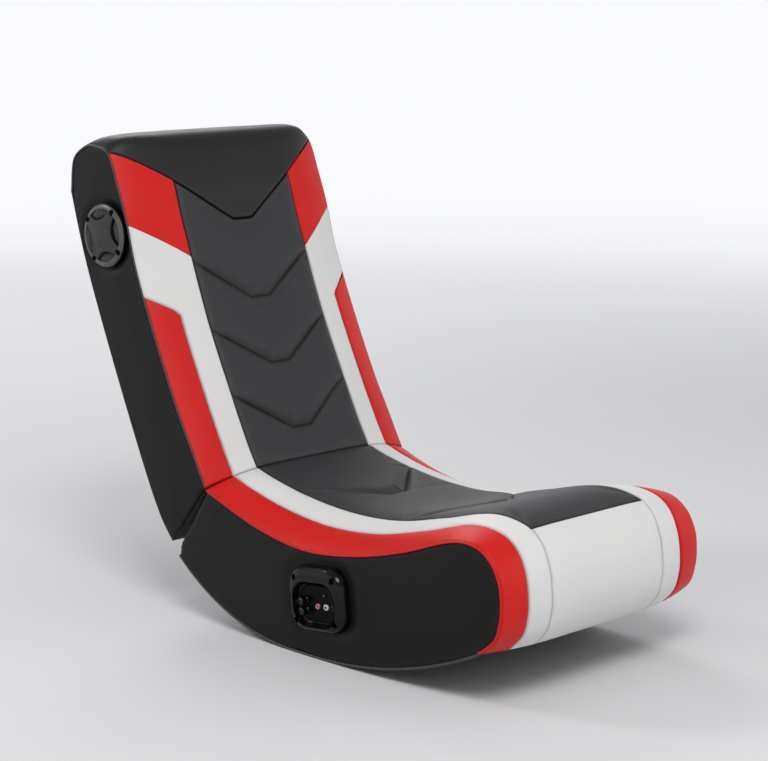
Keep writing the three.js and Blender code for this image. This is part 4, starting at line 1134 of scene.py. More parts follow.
@dataclass(frozen=True)
class SolderMask:
    """A green circuit board with copper tracks under its mask."""

    name: str
    colour: tuple[float, float, float] = (0.02, 0.12, 0.04)

    def make(self, effects: Effects) -> bpy.types.Material:
        """The material."""
        finish = Finish(self.name)
        tree = finish.tree
        place = tree.node("ShaderNodeTexCoord").outputs["Object"]
        tracks = tree.node("ShaderNodeTexVoronoi", {"Vector": place, "Scale": 190.0}, feature="DISTANCE_TO_EDGE",
                           )
        line = tree.node("ShaderNodeMapRange", {"Value": tracks.outputs["Distance"], "From Min": 0.06,
                                                "From Max": 0.1})
        mixed = tree.node("ShaderNodeValToRGB", {"Fac": line.outputs[0]})
        mixed.color_ramp.elements[0].color = (0.05, 0.22, 0.08, 1.0)
        mixed.color_ramp.elements[1].color = (*self.colour, 1.0)
        toned = finish.group(effects.tone, Color=mixed.outputs["Color"], Waves=40.0, Amount=0.1)
        mould = finish.group(effects.mottle, Grains=700.0, Base=0.4, Change=0.1)
        finish.join(toned.outputs["Color"], "Base Color")
        finish.join(mould.outputs["Roughness"], "Roughness")
        finish.join(finish.bump(line.outputs[0], 0.4, 0.05), "Normal")
        return finish.material


@dataclass(frozen=True)
class StudioPaint:
    """Pale matt paint on the floor and the backdrop, which shows paler to the eye with distance."""

    name: str
    colour: tuple[float, float, float] = (0.74, 0.74, 0.75)
    near: float = 1.6
    far: float = 6.0
    glow: float = 0.62

    def make(self, effects: Effects) -> bpy.types.Material:
        """The material."""
        finish = Finish(self.name)
        tree = finish.tree
        place = tree.node("ShaderNodeTexCoord").outputs["Object"]
        distance = tree.node("ShaderNodeVectorMath", {0: place}, operation="LENGTH").outputs["Value"]
        away = tree.node("ShaderNodeMapRange", {"Value": distance, "From Min": self.near, "From Max": self.far},
                         interpolation_type="SMOOTHSTEP")
        path = tree.node("ShaderNodeLightPath")
        seen = tree.maths("MAXIMUM", path.outputs["Is Camera Ray"],
                          tree.maths("MAXIMUM", path.outputs["Is Glossy Ray"], path.outputs["Is Transmission Ray"]))
        glow = tree.maths("MULTIPLY", tree.maths("MULTIPLY", seen, away.outputs[0]), self.glow)
        toned = finish.group(effects.tone, Color=(*self.colour, 1.0), Waves=3.0, Amount=0.015)
        mould = finish.group(effects.mottle, Grains=60.0, Base=0.8, Change=0.06)
        finish.join(toned.outputs["Color"], "Base Color")
        finish.join(mould.outputs["Roughness"], "Roughness")
        finish.join(glow, "Emission Strength")
        finish.fix(Specular_IOR_Level=0.2, Emission_Color=(0.97, 0.975, 1.0, 1.0))
        return finish.material


class Palette:
    """Every finish of the chair, made once."""

    def __init__(self) -> None:
        """Makes the groups and the materials."""
        effects = Effects()
        made = {
            Slot.BLACK: Leatherette("black_cover", (0.011, 0.0113, 0.012), 0.34, 760.0, 0.12, 0.14, 0.5, 0.008),
            Slot.CHARCOAL: Leatherette("charcoal_cover", (0.033, 0.0335, 0.036), 0.42, 900.0, 0.09, 0.1, 0.9, 0.02),
            Slot.WHITE: Leatherette("white_cover", (0.745, 0.74, 0.726), 0.38, 880.0, 0.07, 0.03, 0.35, 0.0),
            Slot.RED: Leatherette("red_cover", (0.64, 0.0095, 0.0065), 0.36, 880.0, 0.07, 0.06, 0.45, 0.0, 0.24),
            Slot.PLYWOOD: BirchPly("birch_ply"),
            Slot.STEEL: PlatedSteel("plated_steel"),
            Slot.PLASTIC: MouldedPlastic("black_mould", (0.006, 0.006, 0.0065), 0.3, 0.14, 0.03, 1500.0, 0.0, 0.1, 0.35),
            Slot.PLATE: MouldedPlastic("plate_mould", (0.0025, 0.0025, 0.0026), 0.4, 0.1, 0.04, 2200.0, 0.0, 0.1, 0.07),
            Slot.RED_PLASTIC: MouldedPlastic("red_mould", (0.55, 0.04, 0.05), 0.25, 0.06, 0.01, 1800.0, 0.4),
            Slot.WHITE_PLASTIC: MouldedPlastic("pale_mould", (0.66, 0.76, 0.62), 0.25, 0.06, 0.01, 1800.0, 0.4),
            Slot.CONE: Fibre("paper_cone", (0.02, 0.02, 0.021), 900.0, 0.8, 0.15),
            Slot.CIRCUIT: SolderMask("solder_mask"),
            Slot.RUBBER: MouldedPlastic("lead_sheath", (0.014, 0.014, 0.015), 0.6, 0.1, 0.02, 900.0),
        }
        self.by_slot = {slot: kind.make(effects) for slot, kind in made.items()}
        self.thread = Fibre("black_thread", (0.015, 0.015, 0.016), 3000.0, 0.7, 0.05).make(effects)
        self.lining = Fibre("black_lining", (0.012, 0.012, 0.013), 900.0, 0.85, 0.12, True).make(effects)
        self.glossy = MouldedPlastic("housing_mould", (0.0025, 0.0025, 0.0027), 0.16, 0.06, 0.01, 1500.0,
                                     gloss=0.25).make(effects)
        # The grille's finish is much paler than the black plastic: painted light on the grille's mesh and ring.
        self.grille = MouldedPlastic("grille_mould_painted_light", (0.075, 0.075, 0.077), 0.34, 0.1, 0.02, 1500.0,
                                     gloss=0.5).make(effects)
        # side_cover is the black cover's leatherette made darker and duller: painted shade on the four side covers.
        self.side = Leatherette("side_cover", (0.0045, 0.0047, 0.005), 0.36, 760.0, 0.12, 0.14, 0.5, 0.006,
                                0.18).make(effects)
        self.mark = MouldedPlastic("pointer_paint", (0.25, 0.25, 0.26), 0.5, 0.1, 0.01, 1500.0).make(effects)
        self.dim = MouldedPlastic("dim_lens", (0.1, 0.075, 0.08), 0.25, 0.05, 0.01, 1500.0, 0.5).make(effects)
        # The cord is black piping coloured grey: the paler colour is a painted highlight along the welts, and its lower
        # roughness gives a real one.
        self.cord = Leatherette("black_cord_painted_highlight", (0.045, 0.045, 0.048), 0.26, 900.0, 0.04, 0.1, 0.2, 0.0).make(effects)
        self.floor = StudioPaint("studio_paint").make(effects)

    def __getitem__(self, slot: Slot) -> bpy.types.Material:
        """The finish of a slot."""
        return self.by_slot[slot]


@dataclass
class Workshop:
    """What every sub-assembly is made with."""

    palette: Palette
    piping: PipingMaker
    stitches: StitchMaker
    made: list[str] = field(default_factory=list)

    def dress(self, piece: bpy.types.Object, body: Body, slot: Slot, replaces: Sequence[str] = (),
              finish: Optional[bpy.types.Material] = None) -> bpy.types.Object:
        """Gives a finished piece its material and its body, and adds its name to the list of made pieces.

        Args:
            piece: The piece.
            body: The body that it rides on.
            slot: The record's slot.
            replaces: The nodes that it stands for.
            finish: Its material, where that isn't the slot's own.

        Returns:
            The piece.
        """
        if len(piece.data.materials) == 0 or finish is not None:
            piece.data.materials.clear()
            piece.data.materials.append(finish or self.palette[slot])
        if replaces:
            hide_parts(*replaces)
        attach(piece, body.value)
        self.made.append(piece.name)
        LOG.info("made %s on %s, %d faces", piece.name, body.value, len(piece.data.polygons))
        return piece


# Padding


@dataclass
class Panel:
    """A panel of padding: a grid of places, distances across and depths, and what is sewn down."""

    place: Points
    across: Points
    depth: Points
    sewn: Points
    near_seam: Points


class Cushions:
    """Makes the padded panels of the seat and of the back, puffed by a cloth simulation between their seams."""

    FINE = (0.0, 0.4, 1.0, 1.8, 2.8, 4.2, 6.0, 8.5)

    def __init__(self, shop: Workshop) -> None:
        """Draws the two padded sides.

        Args:
            shop: What pieces are made with.
        """
        self.shop = shop
        self.seat = Padding(Body.SEAT)
        self.back = Padding(Body.BACK)
        self.seam_roll = 5.0
        self.top_fill = 3.4
        self.groove_depth = 7.9
        self.groove_half = 11.0
        self.groove_fade = 92.0
        self.side_roll = 3.2
        self.swell = 2.6
        self.step = 6.0

    def crease_radius(self, padding: Padding, across: Points) -> Points:
        """Radius of a pad's roll at the crease: larger in the middle, where the pad stands above the fold axis."""
        s = SIZES
        reach = np.clip(np.abs(across) - s.flat_half, 0, None) / (s.half_width - s.flat_half)
        share = reach ** s.crown_power
        rise = padding.pad_rise - (padding.pad_rise + padding.edge_fall) * share
        return 3.2 + 0.3 * np.clip(rise, 0, None)

    def crease_push(self, padding: Padding, panel: Panel) -> Points:
        """How far a pad's end is pressed towards the other body's."""
        distance = np.interp(panel.place, padding.centre.places, padding.centre.lengths)
        amount = (SIZES.fold_half_gap - 0.25) * (1 - smooth_step(distance / 34.0))
        return -padding.square * padding.gap_sign * amount[..., None]

    def _crease(self, padding: Padding, columns: Points) -> tuple[Points, Points]:
        """Distances and depths of the rows that roll over into the crease."""
        radius = self.crease_radius(padding, columns)
        angles = np.radians([0, 12, 25, 38, 52, 66, 78, 90])[:, None]
        return radius * (1 - np.cos(angles)), radius * (1 - np.sin(angles))

    def side_depth(self, across: Points) -> Points:
        """How far the face rolls down at the chair's side seam."""
        return 0.75 * edge_roll(SIZES.half_width - np.abs(across), self.side_roll)

    def seam_depth(self, distance: Points) -> Points:
        """How far the face rolls down at a seam between two panels."""
        return edge_roll(distance, self.seam_roll)

    def groove(self, distance: Points, across: Points) -> Points:
        """How far the face is drawn down beside a sewn channel, less towards the pad's borders."""
        reach = np.clip(np.abs(distance) / self.groove_half, 0, 1)
        border = smooth_step((np.abs(across) - self.groove_fade) / (SIZES.centre_half - self.groove_fade))
        return self.groove_depth * (1 - np.sin(reach * math.pi / 2)) * (1 - 0.65 * border)

    def solid(self, name: str, padding: Padding, panel: Panel, swell: float, seed: float) -> bpy.types.Object:
        """A closed pad from a panel, puffed between what is sewn.

        Args:
            name: The piece's name.
            padding: The seat or the back.
            panel: The panel.
            swell: How far it may swell.
            seed: A number that gives it waves of its own.

        Returns:
            The piece.
        """
        s = SIZES
        face = padding.face(panel.place, panel.across, panel.depth) + self.crease_push(padding, panel)
        upper = padding.world(panel.across, face)
        lip = np.where(np.abs(panel.across) > s.cover_inside, s.seam_lip - s.pad_lip, 0.0)
        run = padding.edge.direction(panel.place)
        inward = np.stack([-run[..., 1], run[..., 0]], -1) * padding.inward_sign
        under = padding.bed(panel.place) + inward * lip[..., None]
        under = np.where((panel.place <= 0)[..., None] & (lip < 0)[..., None],
                         padding.end(padding.edge_fall + s.seam_lip), under)
        lower = padding.world(panel.across, under)
        points, faces = closed_grid(upper, lower)
        piece = mesh_object(name, points, faces)
        count = panel.place.size
        sewn = np.concatenate([panel.sewn.ravel(), np.ones(count, bool)])
        near = np.concatenate([panel.near_seam.ravel(), np.ones(count)])
        rest = read_points(piece.data)
        self._puff(piece, sewn, swell)
        moved = read_points(piece.data)
        normals = np.zeros(len(piece.data.vertices) * 3, np.float32)
        piece.data.vertices.foreach_get("normal", normals)
        free = (1 - smooth_step(near)) * ~sewn
        waves = undulation(rest[:count], 70.0, seed)
        lift = np.zeros(len(moved))
        lift[:count] = waves * 0.5 * free[:count]
        write_points(piece.data, moved + normals.reshape(-1, 3) * lift[:, None])
        # The seam value sets painted shade in the seams, the channels and the crease, and the rub of wear beside them.
        set_attribute(piece.data, "seam", near)
        return piece

    def _puff(self, piece: bpy.types.Object, sewn: Points, swell: float) -> None:
        """Blows a pad up a little between its seams with a cloth simulation, and keeps the result.

        Args:
            piece: The pad.
            sewn: Which points stay.
            swell: How far a point may move, in millimetres.
        """
        if swell <= 0:
            return
        scene = bpy.context.scene
        group = piece.vertex_groups.new(name="sewn")
        group.add([int(i) for i in np.nonzero(sewn)[0]], 1.0, "REPLACE")
        cloth = piece.modifiers.new("stuffing", "CLOTH")
        settings = cloth.settings
        settings.quality = 4
        settings.mass = 0.02
        settings.tension_stiffness = 12.0
        settings.compression_stiffness = 12.0
        settings.shear_stiffness = 6.0
        settings.bending_stiffness = 0.4
        settings.use_pressure = True
        settings.uniform_pressure_force = 14.0
        settings.vertex_group_mass = "sewn"
        settings.effector_weights.gravity = 0.0
        cloth.collision_settings.use_collision = False
        cloth.point_cache.frame_start = 1
        cloth.point_cache.frame_end = 16
        rest = read_points(piece.data)
        for frame in range(1, 17):
            scene.frame_set(frame)
        shown = piece.evaluated_get(bpy.context.evaluated_depsgraph_get())
        puffed = np.zeros(len(shown.data.vertices) * 3, np.float32)
        shown.data.vertices.foreach_get("co", puffed)
        move = puffed.reshape(-1, 3).astype(float) / MM - rest
        piece.modifiers.clear()
        piece.vertex_groups.clear()
        scene.frame_set(1)
        long = np.maximum(np.linalg.norm(move, axis=1), 1e-9)
        held = swell * np.tanh(long / swell)
        LOG.info("%s swelled by up to %.2f mm, kept %.2f", piece.name, long.max(), held.max())
        write_points(piece.data, rest + move * (held / long)[:, None])

    # Seat

    def seat_bend(self, base: Points) -> Points:
        """How far the rows of the seat's centre pad are bent towards the crease at its borders."""
        first, last = CHART.seat_tips[0], CHART.seat_tips[-1]
        rise = CHART.seat_rise
        late = rise * np.clip(CHART.front_seam - base, 0, None) / (CHART.front_seam - last)
        return np.where(base < first, rise * base / first, np.where(base <= last, rise, late))

    @staticmethod
    def arm_share(across: Points) -> Points:
        """How far out on a V's arm a place lies, from its flat bottom to the centre pad's border."""
        return np.clip((np.abs(across) - CHART.boss_half) / (SIZES.centre_half - CHART.boss_half), 0, 1)

    def centre_columns(self) -> Points:
        """Places across the centre pads."""
        half = SIZES.centre_half - SIZES.seam_gap / 2
        corners = (-CHART.boss_half, CHART.boss_half)
        columns = spaced(-half, half, self.step, (-half, half), self.FINE)
        return np.unique(np.concatenate([columns, spaced(-half, half, self.step, corners, (0.0, 3.0))]).round(3))

    def seat_centre(self) -> bpy.types.Object:
        """The seat's centre pad, with its two sewn V channels."""
        columns = self.centre_columns()
        half = columns[-1]
        end = CHART.front_seam - SIZES.seam_gap / 2
        distances, depths = self._crease(self.seat, columns)
        first = float(distances[-1].max()) + 3.0
        bases = spaced(first, end, self.step, (*CHART.seat_tips, end), self.FINE)
        x = np.broadcast_to(columns, (len(bases), len(columns)))
        base = bases[:, None] * np.ones_like(x)
        place = self.seat.place_at(base - self.seat_bend(base) * self.arm_share(x))
        to_tip = np.min([np.abs(base - tip) for tip in CHART.seat_tips], axis=0)
        to_side = half - np.abs(x)
        to_end = end - base
        depth = np.maximum(self.groove(to_tip, x), np.maximum(self.seam_depth(to_side), self.seam_depth(to_end)))
        side = np.broadcast_to(half - np.abs(columns), distances.shape)
        roll_depth = np.maximum(depths, self.seam_depth(side))
        roll_place = self.seat.place_at(distances)
        near = self._nearness(np.minimum(np.minimum(to_side, to_end), to_tip))
        near_roll = self._nearness(np.minimum(side, distances))
        sewn = np.minimum(np.minimum(to_tip, to_end), to_side) < 1.5
        panel = Panel(
            np.vstack([roll_place, place]), np.vstack([np.broadcast_to(columns, distances.shape), x]),
            np.vstack([roll_depth, depth]), np.vstack([np.ones_like(distances, bool), sewn]),
            np.vstack([near_roll, near]))
        return self.solid("seat_centre_cushion", self.seat, panel, self.swell, 1.0)

    @staticmethod
    def _nearness(distance: Points, reach: float = 9.0) -> Points:
        """From 1 in a seam to 0 at a distance from it."""
        return np.clip(1.0 - distance / reach, 0.0, 1.0)

    def seat_strip(self, side: Side, inner: float, outer: float, name: str, swell: float) -> bpy.types.Object:
        """A white or red strip along the seat, from the crease round the nose."""
        to_side = outer >= SIZES.half_width
        stops = (inner,) if to_side else (inner, outer)
        columns = spaced(inner, outer, self.step, stops, self.FINE)
        if to_side:
            tail = outer - np.array([0.0, 0.5, 1.2, 2.2, 3.4, 5.0, 5.7, 6.5, 9.0])
            columns = np.unique(np.concatenate([columns[columns < outer - 9.5], tail]))
        distances, depths = self._crease(self.seat, columns)
        first = float(distances[-1].max()) + 3.0
        length = self.seat.centre.lengths[-1]
        bases = spaced(first, length, self.step, (length,), self.FINE)
        x = np.broadcast_to(columns, (len(bases), len(columns)))
        base = bases[:, None] * np.ones_like(x)
        inner_gap = x - inner
        outer_gap = np.full_like(x, 99.0) if to_side else outer - x
        to_seam = np.minimum(np.minimum(inner_gap, outer_gap), length - base)
        depth = np.maximum(self.seam_depth(to_seam), self.side_depth(x) if to_side else 0.0)
        side_gap = np.minimum(columns - inner, 99.0 if to_side else outer - columns)
        gap = np.broadcast_to(side_gap, distances.shape)
        roll_depth = np.maximum(depths, self.seam_depth(gap))
        if to_side:
            roll_depth = np.maximum(roll_depth, self.side_depth(np.broadcast_to(columns, distances.shape)))
        end_gap = SIZES.half_width - x if to_side else np.full_like(x, 99.0)
        near = self._nearness(np.minimum(to_seam, end_gap))
        near_roll = self._nearness(np.minimum(gap, distances))
        sewn = np.minimum(to_seam, end_gap) < 1.5
        sign = side.value
        panel = Panel(
            np.vstack([self.seat.place_at(distances), self.seat.place_at(base)]),
            np.vstack([np.broadcast_to(columns, distances.shape), x]) * sign,
            np.vstack([roll_depth, depth]), np.vstack([np.ones_like(distances, bool), sewn]),
            np.vstack([near_roll, near]))
        return self.solid(name, self.seat, panel, swell, 2.0 + inner / 40.0 + sign)

    def front_panel(self) -> bpy.types.Object:
        """The white panel over the nose; its face is bare."""
        half = SIZES.centre_half - SIZES.seam_gap / 2
        columns = spaced(-half, half, self.step, (-half, half), self.FINE)
        start = CHART.front_seam + SIZES.seam_gap / 2
        length = self.seat.centre.lengths[-1]
        bases = spaced(start, length, self.step, (start, length), self.FINE)
        x = np.broadcast_to(columns, (len(bases), len(columns)))
        base = bases[:, None] * np.ones_like(x)
        to_seam = np.minimum(half - np.abs(x), np.minimum(base - start, length - base))
        panel = Panel(self.seat.place_at(base), x, self.seam_depth(to_seam), to_seam < 1.5,
                      self._nearness(to_seam))
        return self.solid("seat_front_cushion", self.seat, panel, 1.6, 3.5)

    # Back

    def back_centre(self) -> bpy.types.Object:
        """The back's centre pad, with its three sewn V channels and its V-shaped upper seam."""
        columns = self.centre_columns()
        half = columns[-1]
        distances, depths = self._crease(self.back, columns)
        low = self.back.start()
        first = low + float(distances[-1].max()) + 3.0
        tip_end = CHART.headrest_tip - SIZES.slant_gap / 2
        bases = spaced(first, tip_end, self.step, (*CHART.back_tips, tip_end), self.FINE)
        x = np.broadcast_to(columns, (len(bases), len(columns)))
        base = bases[:, None] * np.ones_like(x)
        bend = CHART.back_rise * np.clip(base / CHART.back_tips[0], 0, 1)
        late = np.clip((base - CHART.back_tips[-1]) / (tip_end - CHART.back_tips[-1]), 0, 1)
        bend = bend + (CHART.headrest_border - CHART.headrest_tip - CHART.back_rise) * late
        place = self.back.place_at(base + bend * self.arm_share(x))
        to_tip = np.min([np.abs(base - tip) for tip in CHART.back_tips], axis=0)
        to_side, to_end = half - np.abs(x), tip_end - base
        depth = np.maximum(self.groove(to_tip, x), np.maximum(self.seam_depth(to_side), self.seam_depth(to_end)))
        side = np.broadcast_to(half - np.abs(columns), distances.shape)
        near = self._nearness(np.minimum(np.minimum(to_side, to_end), to_tip))
        sewn = np.minimum(np.minimum(to_tip, to_end), to_side) < 1.5
        panel = Panel(
            np.vstack([self.back.place_at(low + distances), place]),
            np.vstack([np.broadcast_to(columns, distances.shape), x]),
            np.vstack([np.maximum(depths, self.seam_depth(side)), depth]),
            np.vstack([np.ones_like(distances, bool), sewn]),
            np.vstack([self._nearness(np.minimum(side, distances)), near]))
        return self.solid("back_centre_cushion", self.back, panel, self.swell, 5.0)

    def headrest_seam(self, across: Points) -> Points:
        """Height of the headrest's lower seam."""
        c, s = CHART, SIZES
        inside = c.headrest_tip + (c.headrest_border - c.headrest_tip) * self.arm_share(across)
        beyond = (np.abs(across) - s.centre_half) / (s.half_width - s.centre_half)
        outside = c.headrest_border + (c.headrest_side - c.headrest_border) * beyond
        return np.where(np.abs(across) <= s.centre_half, inside, outside)

    def headrest(self) -> bpy.types.Object:
        """The headrest, from its V seam over the top of the back."""
        s = SIZES
        wide = s.half_width
        tail = np.array([0.0, 0.5, 1.2, 2.2, 3.4, 5.0, 5.7, 6.5, 9.0])
        middle = spaced(-wide + 9.0, wide - 9.0, self.step, (-s.centre_half, -CHART.boss_half, CHART.boss_half,
                                                             s.centre_half), (0.0, 3.0))
        columns = np.unique(np.concatenate([middle, -wide + tail, wide - tail]).round(3))
        offsets = np.array([0.0, 0.4, 1.0, 1.8, 2.8, 4.2, 6.0, 8.5])
        seam = self.headrest_seam(columns) + s.slant_gap / 2
        lower = self.back.place_at(seam + offsets[:, None])
        start = lower[-1]
        shares = spaced(0.0, 1.0, 1.0 / 46, (1.0,), (0.0, 0.002, 0.005, 0.01, 0.018))[1:, None]
        upper = start + (1 - start) * shares
        place = np.vstack([lower, upper])
        x = np.broadcast_to(columns, place.shape)
        to_seam = np.vstack([offsets[:, None] * np.ones_like(lower), np.full_like(upper, 99.0)])
        rear = self.back.edge.lengths[-1] * (1 - place)
        to_seam = np.minimum(to_seam, rear)
        crown = smooth_step((place - 0.58) / 0.12) * (1 - smooth_step((place - 0.84) / 0.14))
        depth = np.maximum(self.seam_depth(to_seam), self.side_depth(x))
        depth = depth - self.top_fill * crown * smooth_step((wide - np.abs(x)) / 22.0)
        to_any = np.minimum(to_seam, wide - np.abs(x))
        panel = Panel(place, x, depth, to_any < 1.5, self._nearness(to_any))
        return self.solid("headrest_cushion", self.back, panel, 2.2, 6.0)

    def back_panel(self, name: str, side: Side, ends: Sequence[tuple], creased: bool, seed: float,
                   open_side: tuple[float, float]) -> bpy.types.Object:
        """A side panel of the back from its rows.

        Args:
            name: The piece's name.
            side: The side of the chair.
            ends: Each row's inner end and outer end, as distance across and height.
            creased: Whether it starts at the crease.
            seed: A number that gives it waves of its own.
            open_side: Lowest and highest height at which it reaches the side seam.

        Returns:
            The piece.
        """
        wide = SIZES.half_width
        rows = np.array(ends, float)
        low = self.back.start()
        if creased:
            rows[0, :, 1] = low + 12.0
        steps = np.linalg.norm(np.diff(rows, axis=0), axis=2).max(1)
        index = np.concatenate([[0.0], np.cumsum(np.maximum(steps, 0.5))])
        marks = spaced(0.0, index[-1], self.step, (0.0, *index[1:-1], index[-1]), (0.0, 1.0, 2.4, 4.4))
        inner = np.stack([np.interp(marks, index, rows[:, 0, k]) for k in (0, 1)], -1)
        outer = np.stack([np.interp(marks, index, rows[:, 1, k]) for k in (0, 1)], -1)
        fine = np.array([0.0, 0.4, 1.0, 1.8, 2.8, 4.2, 6.0])
        width = np.linalg.norm(outer - inner, axis=1)
        count = 8 + int(width.max() / self.step)
        middle = np.linspace(0, 1, count + 2)[1:-1]
        shares = np.stack([np.concatenate([fine / w, (6.0 + (w - 12.0) * middle) / w, (1 - fine / w)[::-1]])
                           for w in width])
        x = inner[:, None, 0] + (outer[:, None, 0] - inner[:, None, 0]) * shares
        height = inner[:, None, 1] + (outer[:, None, 1] - inner[:, None, 1]) * shares
        border = [inner, outer, np.stack([inner[-1], outer[-1]])]
        if not creased:
            border.append(np.stack([inner[0], outer[0]]))
        flat = np.stack([x.ravel(), height.ravel()], -1)
        seams = [self._off_side(line, wide) for line in border]
        to_seam = distance_to_lines(flat, [line for line in seams if len(line) > 1]).reshape(x.shape)
        to_side = np.where((height > open_side[0]) & (height < open_side[1]), wide - x, 99.0)
        depth = np.maximum(self.seam_depth(to_seam), self.side_depth(x))
        near = self._nearness(np.minimum(to_seam, to_side))
        sewn = np.minimum(to_seam, wide - x) < 1.5
        place = self.back.place_at(height)
        if creased:
            distances, depths = self._crease(self.back, x[0])
            roll_x = np.broadcast_to(x[0], distances.shape)
            roll_depth = np.maximum(np.maximum(depths, self.side_depth(roll_x)), self.seam_depth(
                np.broadcast_to(to_seam[0], distances.shape)))
            place = np.vstack([self.back.place_at(low + distances), place])
            depth = np.vstack([roll_depth, depth])
            near = np.vstack([self._nearness(distances), near])
            sewn = np.vstack([np.ones_like(distances, bool), sewn])
            x = np.vstack([roll_x, x])
        panel = Panel(place, x * side.value, depth, sewn, near)
        return self.solid(name, self.back, panel, 1.6, seed + side.value)

    @staticmethod
    def _off_side(line: Points, wide: float) -> Points:
        """The part of a border that isn't the side seam."""
        return line[line[:, 0] < wide - 0.01]

    def side_panels(self) -> list[tuple[bpy.types.Object, str, Slot]]:
        """The white and red panels on both sides of the back."""
        c, s = CHART, SIZES
        inset, slant = s.seam_gap / 2, s.slant_gap / 2
        inner, white_outer, red_inner = s.centre_half + inset, s.border_half - inset, s.border_half + inset
        flare_x, flare_z = s.border_half + c.flare_corner, c.white_flare + c.flare_rise
        flare_slant = slant / 2
        top = c.white_top - slant

        def up(share: float) -> float:
            """Height on the white panel's inner seam above the flare."""
            return c.white_flare + (top - c.white_flare) * share

        white = [
            ((inner, 0.0), (white_outer, 0.0)),
            ((inner, c.white_flare - c.flare_corner), (white_outer, c.white_flare)),
            ((inner, up(0.05)), (flare_x, flare_z + flare_slant)),
            ((inner, up(0.45)), (s.half_width, c.flare_side + flare_slant)),
            ((inner, up(0.72)), (s.half_width, (c.flare_side + c.white_top_side) / 2)),
            ((inner, top), (s.half_width, c.white_top_side - slant)),
        ]
        red_low = [
            ((red_inner, 0.0), (s.half_width, 0.0)),
            ((red_inner, c.white_flare - slant), (s.half_width, c.white_flare + c.flare_corner)),
            ((flare_x + flare_slant, flare_z - flare_slant), (s.half_width, c.flare_side - flare_slant)),
        ]
        red_high = [
            ((inner, c.white_top + slant), (s.half_width, c.white_top_side + slant)),
            ((inner, c.headrest_border - slant), (s.half_width, c.headrest_side - slant)),
        ]
        made = []
        for side in Side:
            word = side.word
            made.append((self.back_panel(f"back_white_cushion_{word}", side, white, True, 11.0,
                                         (c.flare_side, c.white_top_side)), f"back_white_panel_{word}", Slot.WHITE))
            made.append((self.back_panel(f"back_red_low_cushion_{word}", side, red_low, True, 14.0,
                                         (-20.0, c.flare_side)), f"back_red_lower_{word}", Slot.RED))
            made.append((self.back_panel(f"back_red_high_cushion_{word}", side, red_high, False, 17.0,
                                         (c.white_top_side, c.headrest_side)), f"back_red_upper_{word}", Slot.RED))
        return made

    def build(self) -> None:
        """Makes every padded panel."""
        shop, s = self.shop, SIZES
        inset = s.seam_gap / 2
        pads = [
            (self.seat_centre(), Body.SEAT, Slot.CHARCOAL, "seat_centre_pad", 0.7),
            (self.front_panel(), Body.SEAT, Slot.WHITE, "front_panel", 0.8),
            (self.back_centre(), Body.BACK, Slot.CHARCOAL, "back_centre_pad", 0.7),
            (self.headrest(), Body.BACK, Slot.BLACK, "headrest", 0.8),
        ]
        for side in Side:
            word = side.word
            pads.append((self.seat_strip(side, s.centre_half + inset, s.border_half - inset,
                                         f"seat_white_bolster_{word}", 1.8),
                         Body.SEAT, Slot.WHITE, f"seat_white_strip_{word}", 0.8))
            pads.append((self.seat_strip(side, s.border_half + inset, s.half_width,
                                         f"seat_red_bolster_{word}", 1.4),
                         Body.SEAT, Slot.RED, f"seat_red_strip_{word}", 0.8))
        for piece, body, slot, node, fill in pads:
            shop.dress(piece, body, slot, [node])
        for piece, node, slot in self.side_panels():
            shop.dress(piece, Body.BACK, slot, [node])
        self.channel_stitches()

    def channel_stitches(self) -> None:
        """Thread in the bottom of each sewn channel."""
        half = SIZES.centre_half - 3.0
        x = spaced(-half, half, 4.0, (-CHART.boss_half, CHART.boss_half), (0.0, 2.0))
        seat_rows, back_rows = [], []
        for tip in CHART.seat_tips:
            base = np.full_like(x, tip)
            place = self.seat.place_at(base - self.seat_bend(base) * self.arm_share(x))
            depth = np.maximum(self.groove(0.0, x), self.seam_depth(half + 3.0 - np.abs(x))) - 0.1
            seat_rows.append(self.seat.world(x, self.seat.face(place, x, depth)))
        for tip in CHART.back_tips:
            bend = CHART.back_rise * min(1.0, tip / CHART.back_tips[0])
            place = self.back.place_at(tip + bend * self.arm_share(x))
            depth = np.maximum(self.groove(0.0, x), self.seam_depth(half + 3.0 - np.abs(x))) - 0.1
            back_rows.append(self.back.world(x, self.back.face(place, x, depth)))
        thread = self.shop.palette.thread
        seat = self.shop.stitches.make("seat_channel_stitches", seat_rows, 4.6, 3.8, 0.42, thread)
        back = self.shop.stitches.make("back_channel_stitches", back_rows, 4.6, 3.8, 0.42, thread)
        self.shop.dress(seat, Body.SEAT, Slot.BLACK)
        self.shop.dress(back, Body.BACK, Slot.BLACK)


# Side covers


@dataclass
class RoundHole:
    """A hole in a cover, the outline of what sits on it, and how far that presses the cover down round itself."""

    outline: Points
    rim: Points
    draw: float
    reach: float


